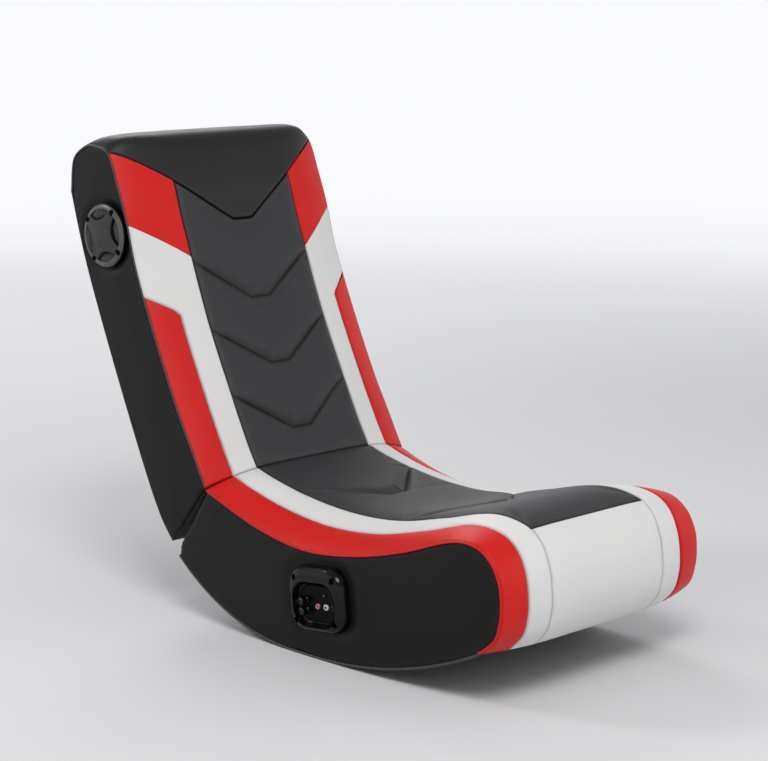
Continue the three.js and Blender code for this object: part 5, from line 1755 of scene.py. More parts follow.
class SideCovers:
    """The black covers on the four sides: leatherette over thin wadding, drawn in at their edges."""

    def __init__(self, shop: Workshop, seat: Padding, back: Padding) -> None:
        """Keeps the two padded sides.

        Args:
            shop: What pieces are made with.
            seat: The seat.
            back: The back.
        """
        self.shop = shop
        self.seat = seat
        self.back = back
        self.roll = 4.5
        self.crown = 1.3
        self.crown_reach = 55.0
        self.grid = 7.0

    @staticmethod
    def rocker_line(rise: float = 0.0) -> Points:
        """The rocker's bottom line from its rear end to its front end."""
        s = SIZES
        rear = np.linspace(s.rocker_rear, -s.foot_rear, 40)
        front = np.linspace(-s.foot_front, -s.rocker_front, 50)
        rear_z = s.rear_radius - np.sqrt(s.rear_radius ** 2 - (rear + s.foot_rear) ** 2)
        front_z = s.front_radius - np.sqrt(s.front_radius ** 2 - (front + s.foot_front) ** 2)
        line = np.concatenate([np.stack([rear, rear_z], -1), np.stack([front, front_z], -1)])
        return offset_line(line, -rise) if rise else line

    def rear_line(self, inset: float = 0.0) -> Points:
        """The back's rear line, downwards, smooth between its points."""
        s = SIZES
        scale = np.array([s.back_depth, s.back_height])
        points = [np.array(p) * scale for p in BACK_REAR_SHARES]
        line = Spline([*points, self.back.end(s.back_end_fall)]).at(np.linspace(0, 1, 90))
        return offset_line(line, -inset) if inset else line

    def seat_outline(self) -> Points:
        """Outline of a side of the seat, in its own plane."""
        s = SIZES
        top = self.seat.edge_line(s.seam_lip + s.clearance)
        foot = self.rocker_line(1.6)[::-1]
        rear = np.stack([self.seat.end(s.seat_end_fall), self.seat.end(s.seat_edge_fall + 60)])
        return np.concatenate([top, foot, rear])

    def back_outline(self) -> Points:
        """Outline of a side of the back, in its own plane."""
        s = SIZES
        top = self.back.edge_line(s.seam_lip + s.clearance, 0.0, 0.985)
        rear = self.rear_line(1.2)[4:]
        low = np.stack([self.back.end(s.back_end_fall * k) for k in (0.75, 0.5, 0.3)])
        return np.concatenate([top, rear, low])

    def cover(self, name: str, outline: Points, padding: Padding, side: Side, holes: Sequence[RoundHole],
              seed: float) -> bpy.types.Object:
        """A cover: a closed skin with a swollen face, rolled at its edge and drawn down round its holes.

        Args:
            name: The piece's name.
            outline: Its outline.
            padding: The seat or the back, whose axes the outline is drawn on.
            side: The side of the chair.
            holes: The holes through it.
            seed: A number that gives it waves of its own.

        Returns:
            The piece.
        """
        s = SIZES
        closed = np.concatenate([outline, outline[:1]])
        rims = [np.concatenate([h.outline, h.outline[:1]]) for h in holes]
        low, high = outline.min(0), outline.max(0)
        rows = np.arange(low[1], high[1], self.grid * 0.866)
        inside = [(x + (k % 2) * self.grid / 2, z) for k, z in enumerate(rows)
                  for x in np.arange(low[0], high[0], self.grid)]
        rings = [offset_line(closed, sign * d)[:-1] for d in (0.8, 1.8, 3.0, 4.6, 7.0) for sign in (-1, 1)]
        hole_rings = [self._grown(h.outline, 2.0) for h in holes]
        hole_rings += [self._grown(h.rim, d) for h in holes for d in (-1.5, 0.5, 2.0, 4.0, 6.5, 9.5, 13.0, 17.0)]
        extra = np.concatenate([np.array(inside), *rings, *hole_rings])
        border = distance_to_lines(extra, [closed, *rims])
        extra = extra[(border > 0.75) & self._inside(extra, outline)]
        for hole in holes:
            extra = extra[~self._inside(extra, hole.outline)]
        loops = [outline, *(h.outline for h in holes)]
        flat, faces, start = [], [], 0
        for loop in loops:
            flat.extend(map(tuple, loop))
            faces.append(list(range(start, start + len(loop))))
            start += len(loop)
        flat.extend(map(tuple, extra))
        result = delaunay_2d_cdt([Vector(p) for p in flat], [], faces, 0, 1e-4, False)
        plane = np.array([tuple(v) for v in result[0]])
        found = np.array([tuple(f) for f in result[2]])
        middles = plane[found].mean(1)
        kept = self._inside(middles, outline)
        for hole in holes:
            kept &= ~self._inside(middles, hole.outline)
        triangles = [tuple(int(i) for i in t) for t in found[kept]]
        to_edge = distance_to_lines(plane, [closed])
        height = -0.8 * edge_roll(to_edge, self.roll) + self.crown * smooth_step(to_edge / self.crown_reach)
        to_rim = np.full(len(plane), 99.0)
        for hole in holes:
            gap = distance_to_lines(plane, [np.concatenate([hole.rim, hole.rim[:1]])])
            to_rim = np.where(self._inside(plane, hole.rim), 0.0, gap)
            height -= hole.draw * (1 - smooth_step(to_rim / hole.reach)) ** 1.5
        world = padding.world(0.0, plane)
        free = smooth_step(to_edge / 30.0) * smooth_step(to_rim / 20.0)
        height += undulation(world, 95.0, seed) * 0.9 * free + undulation(world, 34.0, seed + 5) * 0.16 * free
        outer = padding.world(side.value * (s.half_width + height), plane)
        inner = padding.world(np.full(len(plane), side.value * (s.half_width - s.cover_thickness)), plane)
        count = len(plane)
        edges: dict[tuple[int, int], tuple[int, int]] = {}
        for a, b, c in triangles:
            for first, second in ((a, b), (b, c), (c, a)):
                key = (min(first, second), max(first, second))
                if key in edges:
                    edges.pop(key)
                else:
                    edges[key] = (first, second)
        walls = [(b, a, a + count, b + count) for a, b in edges.values()]
        under = [tuple(i + count for i in reversed(t)) for t in triangles]
        piece = mesh_object(name, np.concatenate([outer, inner]), [*triangles, *under, *walls])
        # The seam value sets painted shade along the cover's edges and round the panel and the grille, and the rub of
        # wear beside them.
        near = np.concatenate([np.clip(1 - np.minimum(to_edge, to_rim) / 12.0, 0, 1), np.ones(count)])
        set_attribute(piece.data, "seam", near)
        return piece

    @staticmethod
    def _grown(outline: Points, distance: float) -> Points:
        """A convex outline made larger about its middle."""
        middle = outline.mean(0)
        run = outline - middle
        size = np.linalg.norm(run, axis=1, keepdims=True)
        return middle + run * (size + distance) / size

    @staticmethod
    def _inside(points: Points, outline: Points) -> Points:
        """Which points lie inside an outline."""
        after = np.roll(outline, -1, axis=0)
        crossings = np.zeros(len(points), int)
        for (ax, az), (bx, bz) in zip(outline, after):
            spans = (az > points[:, 1]) != (bz > points[:, 1])
            if not spans.any():
                continue
            at = (bx - ax) * (points[:, 1] - az) / (bz - az + 1e-12) + ax
            crossings += spans & (points[:, 0] < at)
        return crossings % 2 == 1

    def build(self, panel_hole: RoundHole, speaker_hole: RoundHole) -> None:
        """Makes the four covers and their trim.

        Args:
            panel_hole: The hole for the control panel, in the seat's plane.
            speaker_hole: The hole for a speaker, in the back's plane.
        """
        seat_outline, back_outline = self.seat_outline(), self.back_outline()
        for side in Side:
            word = side.word
            holes = [panel_hole] if side is Side.LEFT else []
            # The side covers take the darker copy of the black cover: painted shade.
            seat_piece = self.cover(f"seat_side_upholstery_{word}", seat_outline, self.seat, side, holes,
                                    20.0 + side.value)
            self.shop.dress(seat_piece, Body.SEAT, Slot.BLACK, [f"seat_side_cover_{word}"],
                            finish=self.shop.palette.side)
            back_piece = self.cover(f"back_side_upholstery_{word}", back_outline, self.back, side,
                                    [speaker_hole], 26.0 + side.value)
            self.shop.dress(back_piece, Body.BACK, Slot.BLACK, [f"back_side_cover_{word}"],
                            finish=self.shop.palette.side)
        self.trim()

    def trim(self) -> None:
        """Welts along the side seams and along the rocker's bottom edges."""
        s, shop = SIZES, self.shop
        seat_seam = self.seat.edge_line(2.7, 0.0, 1.0, 220)
        back_seam = self.back.edge_line(2.7, 0.0, 1.0, 220)
        nose = self.seat.bed(1.0, -1.0)
        foot = np.concatenate([self.rocker_line(1.3), nose[None]])
        rear = self.rear_line(1.4)
        for side in Side:
            word, sign = side.word, side.value
            red = shop.piping.make(f"seat_red_welt_{word}", self.seat.world(sign * (s.half_width - 0.2), seat_seam),
                                   1.7, shop.palette[Slot.RED])
            shop.dress(red, Body.SEAT, Slot.RED)
            # The side and bottom welts take the grey cord finish, a painted highlight.
            black = shop.piping.make(f"back_side_welt_{word}", self.back.world(sign * (s.half_width - 0.4), back_seam),
                                     1.8, shop.palette.cord)
            shop.dress(black, Body.BACK, Slot.BLACK)
            bottom = shop.piping.make(f"seat_bottom_welt_{word}", self.seat.world(sign * (s.half_width - 1.6), foot),
                                      2.3, shop.palette.cord)
            shop.dress(bottom, Body.SEAT, Slot.BLACK)
            behind = shop.piping.make(f"back_rear_welt_{word}", self.back.world(sign * (s.half_width - 1.6), rear),
                                      2.3, shop.palette[Slot.BLACK])
            shop.dress(behind, Body.BACK, Slot.BLACK)


# Rear and bottom covers, and the cloth in the fold


class Linings:
    """The rear cover, the bottom cover, the cloth over the two end faces and the gusset in the crease."""

    def __init__(self, shop: Workshop, seat: Padding, back: Padding, covers: SideCovers) -> None:
        """Keeps what the linings lie against.

        Args:
            shop: What pieces are made with.
            seat: The seat.
            back: The back.
            covers: The side covers, whose lines the covers follow.
        """
        self.shop = shop
        self.seat = seat
        self.back = back
        self.covers = covers

    def sheet(self, name: str, padding: Padding, line: Points, inside: Points, half: float, crown: float,
              seed: float) -> bpy.types.Object:
        """A cover across the chair along a line, a little full between its edges.

        Args:
            name: The piece's name.
            padding: The seat or the back, whose axes the line is drawn on.
            line: Its outer line.
            inside: Its inner line, with as many points.
            half: Half of its width.
            crown: How far it stands out in its middle.
            seed: A number that gives it waves of its own.

        Returns:
            The piece.
        """
        columns = spaced(-half, half, 9.0, (-half, half), (0.0, 0.8, 2.0, 4.0, 7.0))
        normal = line - inside
        normal = normal / np.linalg.norm(normal, axis=1)[:, None]
        steps = np.concatenate([[0.0], np.cumsum(np.linalg.norm(np.diff(line, axis=0), axis=1))])
        to_edge = half - np.abs(columns)[None, :] + np.zeros((len(line), 1))
        to_end = np.minimum(steps, steps[-1] - steps)[:, None]
        lift = crown * smooth_step(np.minimum(to_edge, to_end) / 60.0) - 0.45 * edge_roll(to_edge, 4.0)
        world = padding.world(columns[None, :] + np.zeros((len(line), 1)), line[:, None, :] + 0 * to_edge[..., None])
        waves = undulation(world.reshape(-1, 3), 110.0, seed).reshape(to_edge.shape)
        lift = lift + 0.8 * waves * smooth_step(np.minimum(to_edge, to_end) / 40.0)
        outer = line[:, None, :] + normal[:, None, :] * lift[..., None]
        upper = padding.world(columns[None, :] + 0 * to_edge, outer)
        lower = padding.world(columns[None, :] + 0 * to_edge, inside[:, None, :] + 0 * to_edge[..., None])
        points, faces = closed_grid(upper, lower)
        piece = mesh_object(name, points, faces)
        # The seam value sets painted shade along the sheet's edges and the rub of wear beside them.
        near = np.clip(1 - to_edge / 10.0, 0, 1).ravel()
        set_attribute(piece.data, "seam", np.concatenate([near, np.ones(len(near))]))
        return piece

    def flat_cloth(self, name: str, padding: Padding, first: float, last: float, body: Body, half: float) -> None:
        """Cloth stapled over an end face, in the fold gap."""
        rows = np.linspace(first, last, 24)
        outer = np.stack([padding.end(d, -0.27) for d in rows])
        inner = np.stack([padding.end(d, -0.05) for d in rows])
        columns = np.linspace(-half, half, 40)
        upper = padding.world(columns[None, :] + np.zeros((24, 1)), np.repeat(outer[:, None], 40, 1))
        lower = padding.world(columns[None, :] + np.zeros((24, 1)), np.repeat(inner[:, None], 40, 1))
        points, faces = closed_grid(upper, lower)
        piece = mesh_object(name, points, faces)
        self.shop.dress(piece, body, Slot.BLACK, finish=self.shop.palette.lining)

    def gusset(self) -> None:
        """A strip of black cloth over the hinges, from the seat's pads to the back's."""
        s = SIZES
        half = s.half_width - 1.0
        columns = np.linspace(-half, half, 90)
        reach = np.clip(np.abs(columns) - s.flat_half, 0, None) / (s.half_width - s.flat_half)
        share = reach ** s.crown_power
        fall = -s.seat_pad_rise + (s.seat_pad_rise + s.seat_edge_fall) * share
        middle_down, middle_square = gap_axes(s.fold_slope)
        below = 6.0
        spread = s.fold_half_gap + 1.2
        turns = np.linspace(-1, 1, 9)
        over_hinge = -3.2 + 30.0 * smooth_step((np.abs(columns) - 100.0) / 20.0)
        level = np.minimum(fall + below, over_hinge)
        gap = turns[:, None] * spread
        sag = 0.3 * (1 - turns[:, None] ** 2) + 0 * level
        origin = np.array([0.0, s.pivot_height])

        def at(extra: float) -> Points:
            """The strip's points, deeper by some amount."""
            flat = origin + middle_down * (level + sag + extra)[..., None] + middle_square * (gap + 0 * level)[..., None]
            return self.seat.world(columns[None, :] + 0 * gap, flat)

        points, faces = closed_grid(at(0.0), at(0.5))
        piece = mesh_object("crease_gusset", points, faces)
        piece.data.materials.append(self.shop.palette.lining)
        start = self.seat.world(0.0, origin - middle_square * 5.0) * MM
        end = self.seat.world(0.0, origin + middle_square * 5.0) * MM
        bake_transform(piece)
        LOG.info("made %s across the fold", piece.name)

    def build(self) -> None:
        """Makes every lining."""
        s = SIZES
        half = s.half_width - 1.2
        rear = self.covers.rear_line()
        piece = self.sheet("rear_upholstery", self.back, rear, offset_line(rear, -2.4), half, 1.6, 31.0)
        self.shop.dress(piece, Body.BACK, Slot.BLACK, ["rear_cover"])
        foot = self.covers.rocker_line()
        nose = self.seat.bed(1.0, -0.5)
        rise = np.linspace(foot[-1], nose, 8)[1:]
        line = np.concatenate([foot, rise])
        inner = offset_line(line, -2.4)
        bottom = self.sheet("bottom_upholstery", self.seat, line, inner, half, 0.0, 33.0)
        points = read_points(bottom.data)
        points[:, 2] = np.maximum(points[:, 2], 0.0)
        write_points(bottom.data, points)
        self.shop.dress(bottom, Body.SEAT, Slot.BLACK, ["bottom_cover"])
        self.flat_cloth("seat_end_cloth", self.seat, s.seat_edge_fall + 9.0, 152.0, Body.SEAT, s.cover_inside)
        self.flat_cloth("back_end_cloth", self.back, s.back_edge_fall + 9.0, 149.0, Body.BACK, s.cover_inside)
        self.gusset()


# Speakers


class Speakers:
    """A domed perforated grille on each side of the back."""

    def __init__(self, shop: Workshop, back: Padding) -> None:
        """Keeps the back that they sit in.

        Args:
            shop: What pieces are made with.
            back: The back.
        """
        self.shop = shop
        self.back = back
        self.height = 426.0
        self.setback = 87.0
        self.radius = 52.5
        self.mesh_radius = 43.6
        self.pitch = 3.4
        self.hole_share = 0.77
        self.wall = 1.0
        self.rise = 12.3
        self.rim_height = 4.6
        self.lens_centre = 61.0
        self.lens_radius = 34.0
        self.lens_drop = 3.2
        # Width of the black strips of painted shade in the lens recesses.
        self.lens_shade_width = 3.3
        self.screw_place = 44.6
        self.screw_room = 5.0
        self.turn = math.radians(10.0)

    def hole(self) -> RoundHole:
        """The hole in the side cover."""
        turns = np.linspace(0, 2 * math.pi, 65)[:-1]
        round_line = np.stack([np.cos(turns), np.sin(turns)], -1)
        middle = np.array([self.setback, self.height])
        return RoundHole(middle + round_line * 46.8, middle + round_line * self.radius, 3.4, 17.0)

    def dome(self, radius: Points) -> Points:
        """Height of the grille above the side cover."""
        return self.rim_height + (self.rise - self.rim_height) * (1 - (np.asarray(radius) / self.radius) ** 2)

    def place(self, local: Points, side: Side) -> Points:
        """Local points, with their third value outwards, in the chair's frame."""
        along, up, out = np.asarray(local).T
        flat = np.stack([self.setback + along * math.cos(self.turn) - up * math.sin(self.turn),
                         self.height + along * math.sin(self.turn) + up * math.cos(self.turn)], -1)
        return self.back.world(side.value * (SIZES.half_width + out), flat)

    def perforation_tree(self) -> NodeTree:
        """A tree that fills a disc with six-sided cells, opens a hole in each and bends them to the dome."""
        tree, start, end = geometry_tree("perforations", [
            ("Pitch", "NodeSocketFloat"), ("Open Share", "NodeSocketFloat"), ("Dome Radius", "NodeSocketFloat"),
            ("Dome Rise", "NodeSocketFloat"), ("Lens Centre", "NodeSocketFloat"), ("Lens Radius", "NodeSocketFloat"),
            ("Lens Start", "NodeSocketFloat"), ("Lens Drop", "NodeSocketFloat"), ("Finish", "NodeSocketMaterial"),
        ])
        cell = tree.node("GeometryNodeMeshCircle", {
            "Vertices": 6, "Radius": tree.maths("DIVIDE", start.outputs["Pitch"], math.sqrt(3.0))},
            fill_type="NGON")
        turned = tree.node("GeometryNodeTransform", {"Geometry": cell.outputs[0],
                                                     "Rotation": (0.0, 0.0, math.radians(30.0))})
        placed = tree.node("GeometryNodeInstanceOnPoints", {"Points": start.outputs["Geometry"],
                                                            "Instance": turned.outputs[0]})
        real = tree.node("GeometryNodeRealizeInstances", {"Geometry": placed.outputs[0]})
        merged = tree.node("GeometryNodeMergeByDistance", {"Geometry": real.outputs[0], "Distance": 0.00002})
        inset = tree.node("GeometryNodeExtrudeMesh", {"Mesh": merged.outputs[0], "Offset Scale": 0.0,
                                                      "Individual": True}, mode="FACES")
        shrunk = tree.node("GeometryNodeScaleElements", {
            "Geometry": inset.outputs["Mesh"], "Selection": inset.outputs["Top"],
            "Scale": start.outputs["Open Share"]}, domain="FACE")
        opened = tree.node("GeometryNodeDeleteGeometry", {
            "Geometry": shrunk.outputs[0], "Selection": inset.outputs["Top"]}, domain="FACE")
        where = tree.node("GeometryNodeInputPosition").outputs[0]
        parts = tree.node("ShaderNodeSeparateXYZ", {"Vector": where})
        x, y = parts.outputs[0], parts.outputs[1]
        squared = tree.maths("ADD", tree.maths("MULTIPLY", x, x), tree.maths("MULTIPLY", y, y))
        radius = tree.maths("SQRT", squared)
        share = tree.maths("DIVIDE", radius, start.outputs["Dome Radius"])
        left = tree.maths("SUBTRACT", 1.0, tree.maths("MULTIPLY", share, share))
        dome = tree.maths("MULTIPLY", left, start.outputs["Dome Rise"])
        drops = []
        for turn in range(4):
            angle = turn * math.pi / 2
            dx = tree.maths("SUBTRACT", x, tree.maths("MULTIPLY", start.outputs["Lens Centre"], math.cos(angle)))
            dy = tree.maths("SUBTRACT", y, tree.maths("MULTIPLY", start.outputs["Lens Centre"], math.sin(angle)))
            away = tree.maths("SQRT", tree.maths("ADD", tree.maths("MULTIPLY", dx, dx), tree.maths("MULTIPLY", dy, dy)))
            slope = tree.node("ShaderNodeMapRange", {"Value": away, "From Min": start.outputs["Lens Start"],
                                                     "From Max": start.outputs["Lens Radius"]})
            inside = tree.maths("LESS_THAN", away, start.outputs["Lens Radius"])
            drops.append(tree.maths("MULTIPLY", slope.outputs[0], inside))
        any_lens = tree.maths("MAXIMUM", tree.maths("MAXIMUM", drops[0], drops[1]),
                              tree.maths("MAXIMUM", drops[2], drops[3]))
        drop = tree.maths("MULTIPLY", any_lens, start.outputs["Lens Drop"])
        height = tree.maths("SUBTRACT", dome, drop)
        lifted = tree.node("GeometryNodeSetPosition", {
            "Geometry": opened.outputs[0],
            "Position": tree.node("ShaderNodeCombineXYZ", {"X": x, "Y": y, "Z": height}).outputs[0]})
        finish_tree(tree, end, lifted.outputs[0], start.outputs["Finish"])
        return tree

    def mesh_points(self) -> Points:
        """Middles of the cells: six-sided packing within the mesh's radius, clear of the screws."""
        rows = int(self.mesh_radius / (self.pitch * 0.866)) + 1
        found = []
        for k in range(-rows, rows + 1):
            y = k * self.pitch * math.sqrt(3) / 2
            for j in range(-rows - 2, rows + 3):
                x = (j + (k % 2) / 2) * self.pitch
                far = math.hypot(x, y)
                turned = self.screw_place / math.sqrt(2)
                to_screw = math.hypot(abs(x) - turned, abs(y) - turned)
                if far < self.mesh_radius and to_screw > self.screw_room:
                    found.append((x, y, 0.0))
        return np.array(found)

    def grille(self, side: Side, tree: NodeTree) -> bpy.types.Object:
        """The perforated dome of one side."""
        points = self.mesh_points()
        source = link("cells", bpy.data.meshes.new("cells"))
        source.data.from_pydata((points * MM).tolist(), [], [])
        # The mesh takes the paler grille finish: painted light.
        values = {
            "Pitch": self.pitch * MM, "Open Share": self.hole_share, "Dome Radius": self.radius * MM,
            "Dome Rise": (self.rise - self.rim_height) * MM, "Lens Centre": self.lens_centre * MM,
            "Lens Radius": self.lens_radius * MM, "Lens Start": (self.lens_centre - self.mesh_radius) * MM,
            "Lens Drop": self.lens_drop * MM, "Finish": self.shop.palette.grille,
        }
        piece = run_tree(source, tree, values, f"speaker_mesh_{side.word}")
        local = read_points(piece.data)
        local[:, 2] += self.rim_height
        write_points(piece.data, self.place(local, side))
        thick = piece.modifiers.new("wall", "SOLIDIFY")
        thick.thickness = self.wall * MM
        thick.offset = -1.0 if side is Side.RIGHT else 1.0
        apply_modifiers(piece)
        face_outwards(piece)
        return piece

    def turned(self, name: str, profile: Sequence[tuple[float, float]], side: Side, sides: int,
               middle: tuple[float, float] = (0.0, 0.0), closed: bool = False) -> bpy.types.Object:
        """A round part of a grille, about its axis or a point beside it."""
        points, faces = lathe(profile, sides, closed)
        piece = mesh_object(name, self.place(points + np.array([*middle, 0.0]), side), faces)
        merge_doubles(piece, 0.01)
        face_outwards(piece)
        return piece

    def screw_middles(self) -> list[tuple[float, float]]:
        """The middles of the four screws."""
        angles = [math.pi / 4 + k * math.pi / 2 for k in range(4)]
        return [(self.screw_place * math.cos(a), self.screw_place * math.sin(a)) for a in angles]

    def ring(self, side: Side) -> bpy.types.Object:
        """The smooth ring round the mesh, with room for its four screws."""
        crown = ((42.6, -0.2), (43.2, 0.6), (44.2, 1.0), (45.8, 1.1), (47.6, 0.8), (49.2, 0.2), (50.2, -0.7), (50.7, -1.6))
        profile = [(42.6, 4.2), *((r, self.dome(r) + h) for r, h in crown), (50.9, 2.6), (50.2, 1.4), (47.0, 3.6),
                   (44.0, 4.2)]
        piece = self.turned(f"speaker_ring_{side.word}", profile, side, 96, closed=True)
        base = self.dome(self.screw_place)
        well = [(0.0, base - 3.0), (4.4, base - 3.0), (4.4, base + 3.0), (0.0, base + 3.0)]
        cut_out(piece, [self.turned("well_tool", well, side, 24, middle) for middle in self.screw_middles()])
        return piece

    def shaded_wall(self, side: Side) -> bpy.types.Object:
        """The grille's outer wall down to the side cover: its shape stands for the real wall, its near-black colour is
        painted shade for the ring's shadow round its edge.
        """
        profile = [(49.6, 3.4), (51.4, 4.7), (52.2, 4.2), (52.5, 3.0), (52.5, -3.0), (50.4, -3.0), (49.2, 1.0)]
        return self.turned(f"speaker_gasket_{side.word}", profile, side, 96, closed=True)

    def screw_cups(self, side: Side) -> bpy.types.Object:
        """The four dark cups that the grille's screws sit in."""
        base = self.dome(self.screw_place)
        cup = ((0.0, -2.4), (2.4, -2.4), (2.8, -2.0), (3.2, 1.1), (3.6, 1.5), (4.3, 1.3), (5.0, 0.7), (5.2, 0.1),
               (4.2, -3.4), (0.0, -3.6))
        parts = [lathe([(r, base + h) for r, h in cup], 24) for _ in range(4)]
        size = len(parts[0][0])
        points = np.concatenate([p + np.array([*m, 0.0]) for (p, _), m in zip(parts, self.screw_middles())])
        faces = [tuple(k * size + i for i in face) for k, (_, part) in enumerate(parts) for face in part]
        piece = mesh_object(f"speaker_screw_cups_{side.word}", self.place(points, side), faces)
        merge_doubles(piece, 0.02)
        face_outwards(piece)
        return piece

    def lens_shade_strips(self, side: Side) -> bpy.types.Object:
        """Black curved strips where the four lens-shaped recesses drop away from the mesh: painted shade for the shadow
        along each step.
        """
        limit = self.mesh_radius - 0.6
        widest = math.acos((self.lens_centre ** 2 + self.lens_radius ** 2 - limit ** 2)
                           / (2 * self.lens_centre * self.lens_radius))
        points, faces = [], []
        for quarter in range(4):
            axis = quarter * math.pi / 2
            along, sideways = np.array([math.cos(axis), math.sin(axis)]), np.array([-math.sin(axis), math.cos(axis)])
            rings = []
            for turn in np.linspace(-widest, widest, 17):
                aim = -along * math.cos(turn) + sideways * math.sin(turn)
                half = self.lens_shade_width / 2 * (1.15 - (turn / widest) ** 2)
                near, far = (along * self.lens_centre + aim * (self.lens_radius + d) for d in (half, -half))
                top = self.dome(np.linalg.norm(near)) + 0.05
                low = top - self.lens_drop - 1.2
                rings.append(self.place(np.array([(*near, top), (*far, top - 0.5), (*far, low), (*near, low)]), side))
            part, sides = ring_body(rings)
            start = len(points)
            points.extend(part)
            faces.extend(tuple(start + i for i in face) for face in sides)
        return mesh_object(f"speaker_lens_slits_{side.word}", np.array(points), faces, smooth=False)

    def build(self) -> None:
        """Makes both grilles."""
        tree = self.perforation_tree()
        for side in Side:
            word = side.word
            mesh = self.grille(side, tree)
            self.shop.dress(mesh, Body.BACK, Slot.PLASTIC, [f"speaker_grille_{word}"])
            # The ring takes the same paler finish: painted light.
            finish = self.shop.palette.grille
            self.shop.dress(self.ring(side), Body.BACK, Slot.PLASTIC, finish=finish)
            # Near-black for the grille's outer wall and the lens strips, which is painted shade, and for the screw
            # cups.
            black = self.shop.palette[Slot.PLATE]
            for piece in (self.shaded_wall(side), self.screw_cups(side), self.lens_shade_strips(side)):
                self.shop.dress(piece, Body.BACK, Slot.PLASTIC, finish=black)


# Control panel


class ControlPanel:
    """The amplifier's panel in the left side: housing, face plate, knobs, sockets, light and screws."""

    def __init__(self, shop: Workshop, seat: Padding) -> None:
        """Keeps the seat that it sits in.

        Args:
            shop: What pieces are made with.
            seat: The seat.
        """
        self.shop = shop
        self.seat = seat
        self.setback = 245.0
        self.height = 94.07
        self.tilt = math.radians(6.0)
        self.dish_drop = 6.5
        self.row_drop = 3.0
        # Half width, half height, corner and drop of each section
        self.base = np.array([58.0, 50.0, 32.0, 0.0])
        self.face = np.array([52.0, 45.7, 28.0, 0.0])
        self.dish = np.array([45.5, 33.5, 26.0, self.dish_drop])
        self.floor = np.array([41.0, 29.0, 22.0, self.dish_drop])
        self.box = np.array([34.0, 30.0, 8.0, 0.0])
        self.plate_edge = np.array([39.0, 27.5, 22.0, self.dish_drop])
        self.box_depth = 28.0
        self.rise = 16.3
        self.floor_rise = 5.3
        self.plate_top = 7.2
        self.knob_setback = 24.5
        self.knob_spacing = 7.6
        self.jack_places = (1.7, 18.9, 33.0)
        self.screw_place = (41.0, 32.2)

    @property
    def row(self) -> float:
        """Height of the row of sockets above the panel's centre."""
        return -self.dish_drop - self.row_drop

    def world(self, out: Points, forward: Points, up: Points) -> Points:
        """Points on the panel's own axes in the chair's frame."""
        out, forward, up = np.broadcast_arrays(np.asarray(out, float), forward, up)
        cos, sin = math.cos(self.tilt), math.sin(self.tilt)
        y = -forward * cos + up * sin - self.setback
        z = forward * sin + up * cos + self.height
        return self.seat.world(-SIZES.half_width - out, np.stack([y, z], -1))

    @staticmethod
    def rounded(half: tuple[float, float], corner: float, steps: int = 14) -> Points:
        """A rounded rectangle's outline about zero."""
        radius = min(corner, *half)
        found = []
        for sx, sy, start in ((1, 1, 0), (-1, 1, 90), (-1, -1, 180), (1, -1, 270)):
            for angle in np.radians(np.linspace(start, start + 90, steps)):
                found.append((sx * (half[0] - radius) + radius * math.cos(angle),
                              sy * (half[1] - radius) + radius * math.sin(angle)))
        return np.array(found)

    def hole(self) -> RoundHole:
        """The hole in the side cover, in the seat's plane."""
        def flat(half: tuple[float, float], corner: float) -> Points:
            """A rounded rectangle in the seat's plane."""
            ring = self.rounded(half, corner, 10)
            world = self.world(0.0, ring[:, 0], ring[:, 1])
            return np.stack([world[:, 1] - SIZES.pivot_forward, world[:, 2]], -1)

        return RoundHole(flat((self.box[0] + 3, self.box[1] + 3), self.box[2] + 3), flat(self.base[:2], self.base[2]),
                         3.8, 24.0)

    def ring_at(self, out: float, section: Points) -> Points:
        """A section of the housing at a distance out of the side, in the chair's frame."""
        ring = self.rounded(section[:2], section[2])
        return self.world(out, ring[:, 0], ring[:, 1] - section[3])

    def housing(self) -> bpy.types.Object:
        """The housing: a box behind, upright walls, a rim that is broad at the top, and a dish."""
        base, face, dish, floor = self.base, self.face, self.dish, self.floor
        sections = [(-self.box_depth, self.box), (-4.3, self.box), (-4.3, base * 0.8 + self.box * 0.2), (-4.0, base)]
        sections += [(out, base + (face - base) * share) for out, share in (
            (1.0, 0.0), (5.0, 0.18), (8.5, 0.42), (11.0, 0.7), (12.4, 0.9))]
        sections += [(self.rise - 3.3 * (1 - share) ** 2.2, face + (dish - face) * share) for share in (
            0.02, 0.14, 0.28, 0.44, 0.6, 0.76, 0.88, 0.96)]
        sections += [(out, dish + (floor - dish) * share) for out, share in (
            (15.7, 0.02), (14.4, 0.1), (11.5, 0.32), (8.4, 0.62), (6.4, 0.86), (self.floor_rise, 1.12))]
        points, faces = ring_body([self.ring_at(out, section) for out, section in sections])
        piece = mesh_object("control_panel_housing", points, faces)
        well = [(0.0, self.rise - 7.5), (4.6, self.rise - 7.5), (4.9, self.rise + 3.0), (0.0, self.rise + 3.0)]
        cut_out(piece, [self.turned("well_tool", well, *middle, 24) for middle in self.screw_middles()], 50.0)
        return piece

    def screw_middles(self) -> list[tuple[float, float]]:
        """The middles of the four screws."""
        forward, up = self.screw_place
        return [(forward, up), (forward, -up), (-forward, up), (-forward, -up)]

    def plate(self) -> bpy.types.Object:
        """The face plate, with a softened edge."""
        rings = [self.ring_at(out, self.plate_edge - np.array([cut, cut, 0, 0])) for out, cut in (
            (self.floor_rise + 0.25, 0.0), (self.plate_top - 0.5, 0.0), (self.plate_top - 0.1, 0.3),
            (self.plate_top, 0.8))]
        points, faces = ring_body(rings)
        return mesh_object("control_panel_plate", points, faces)

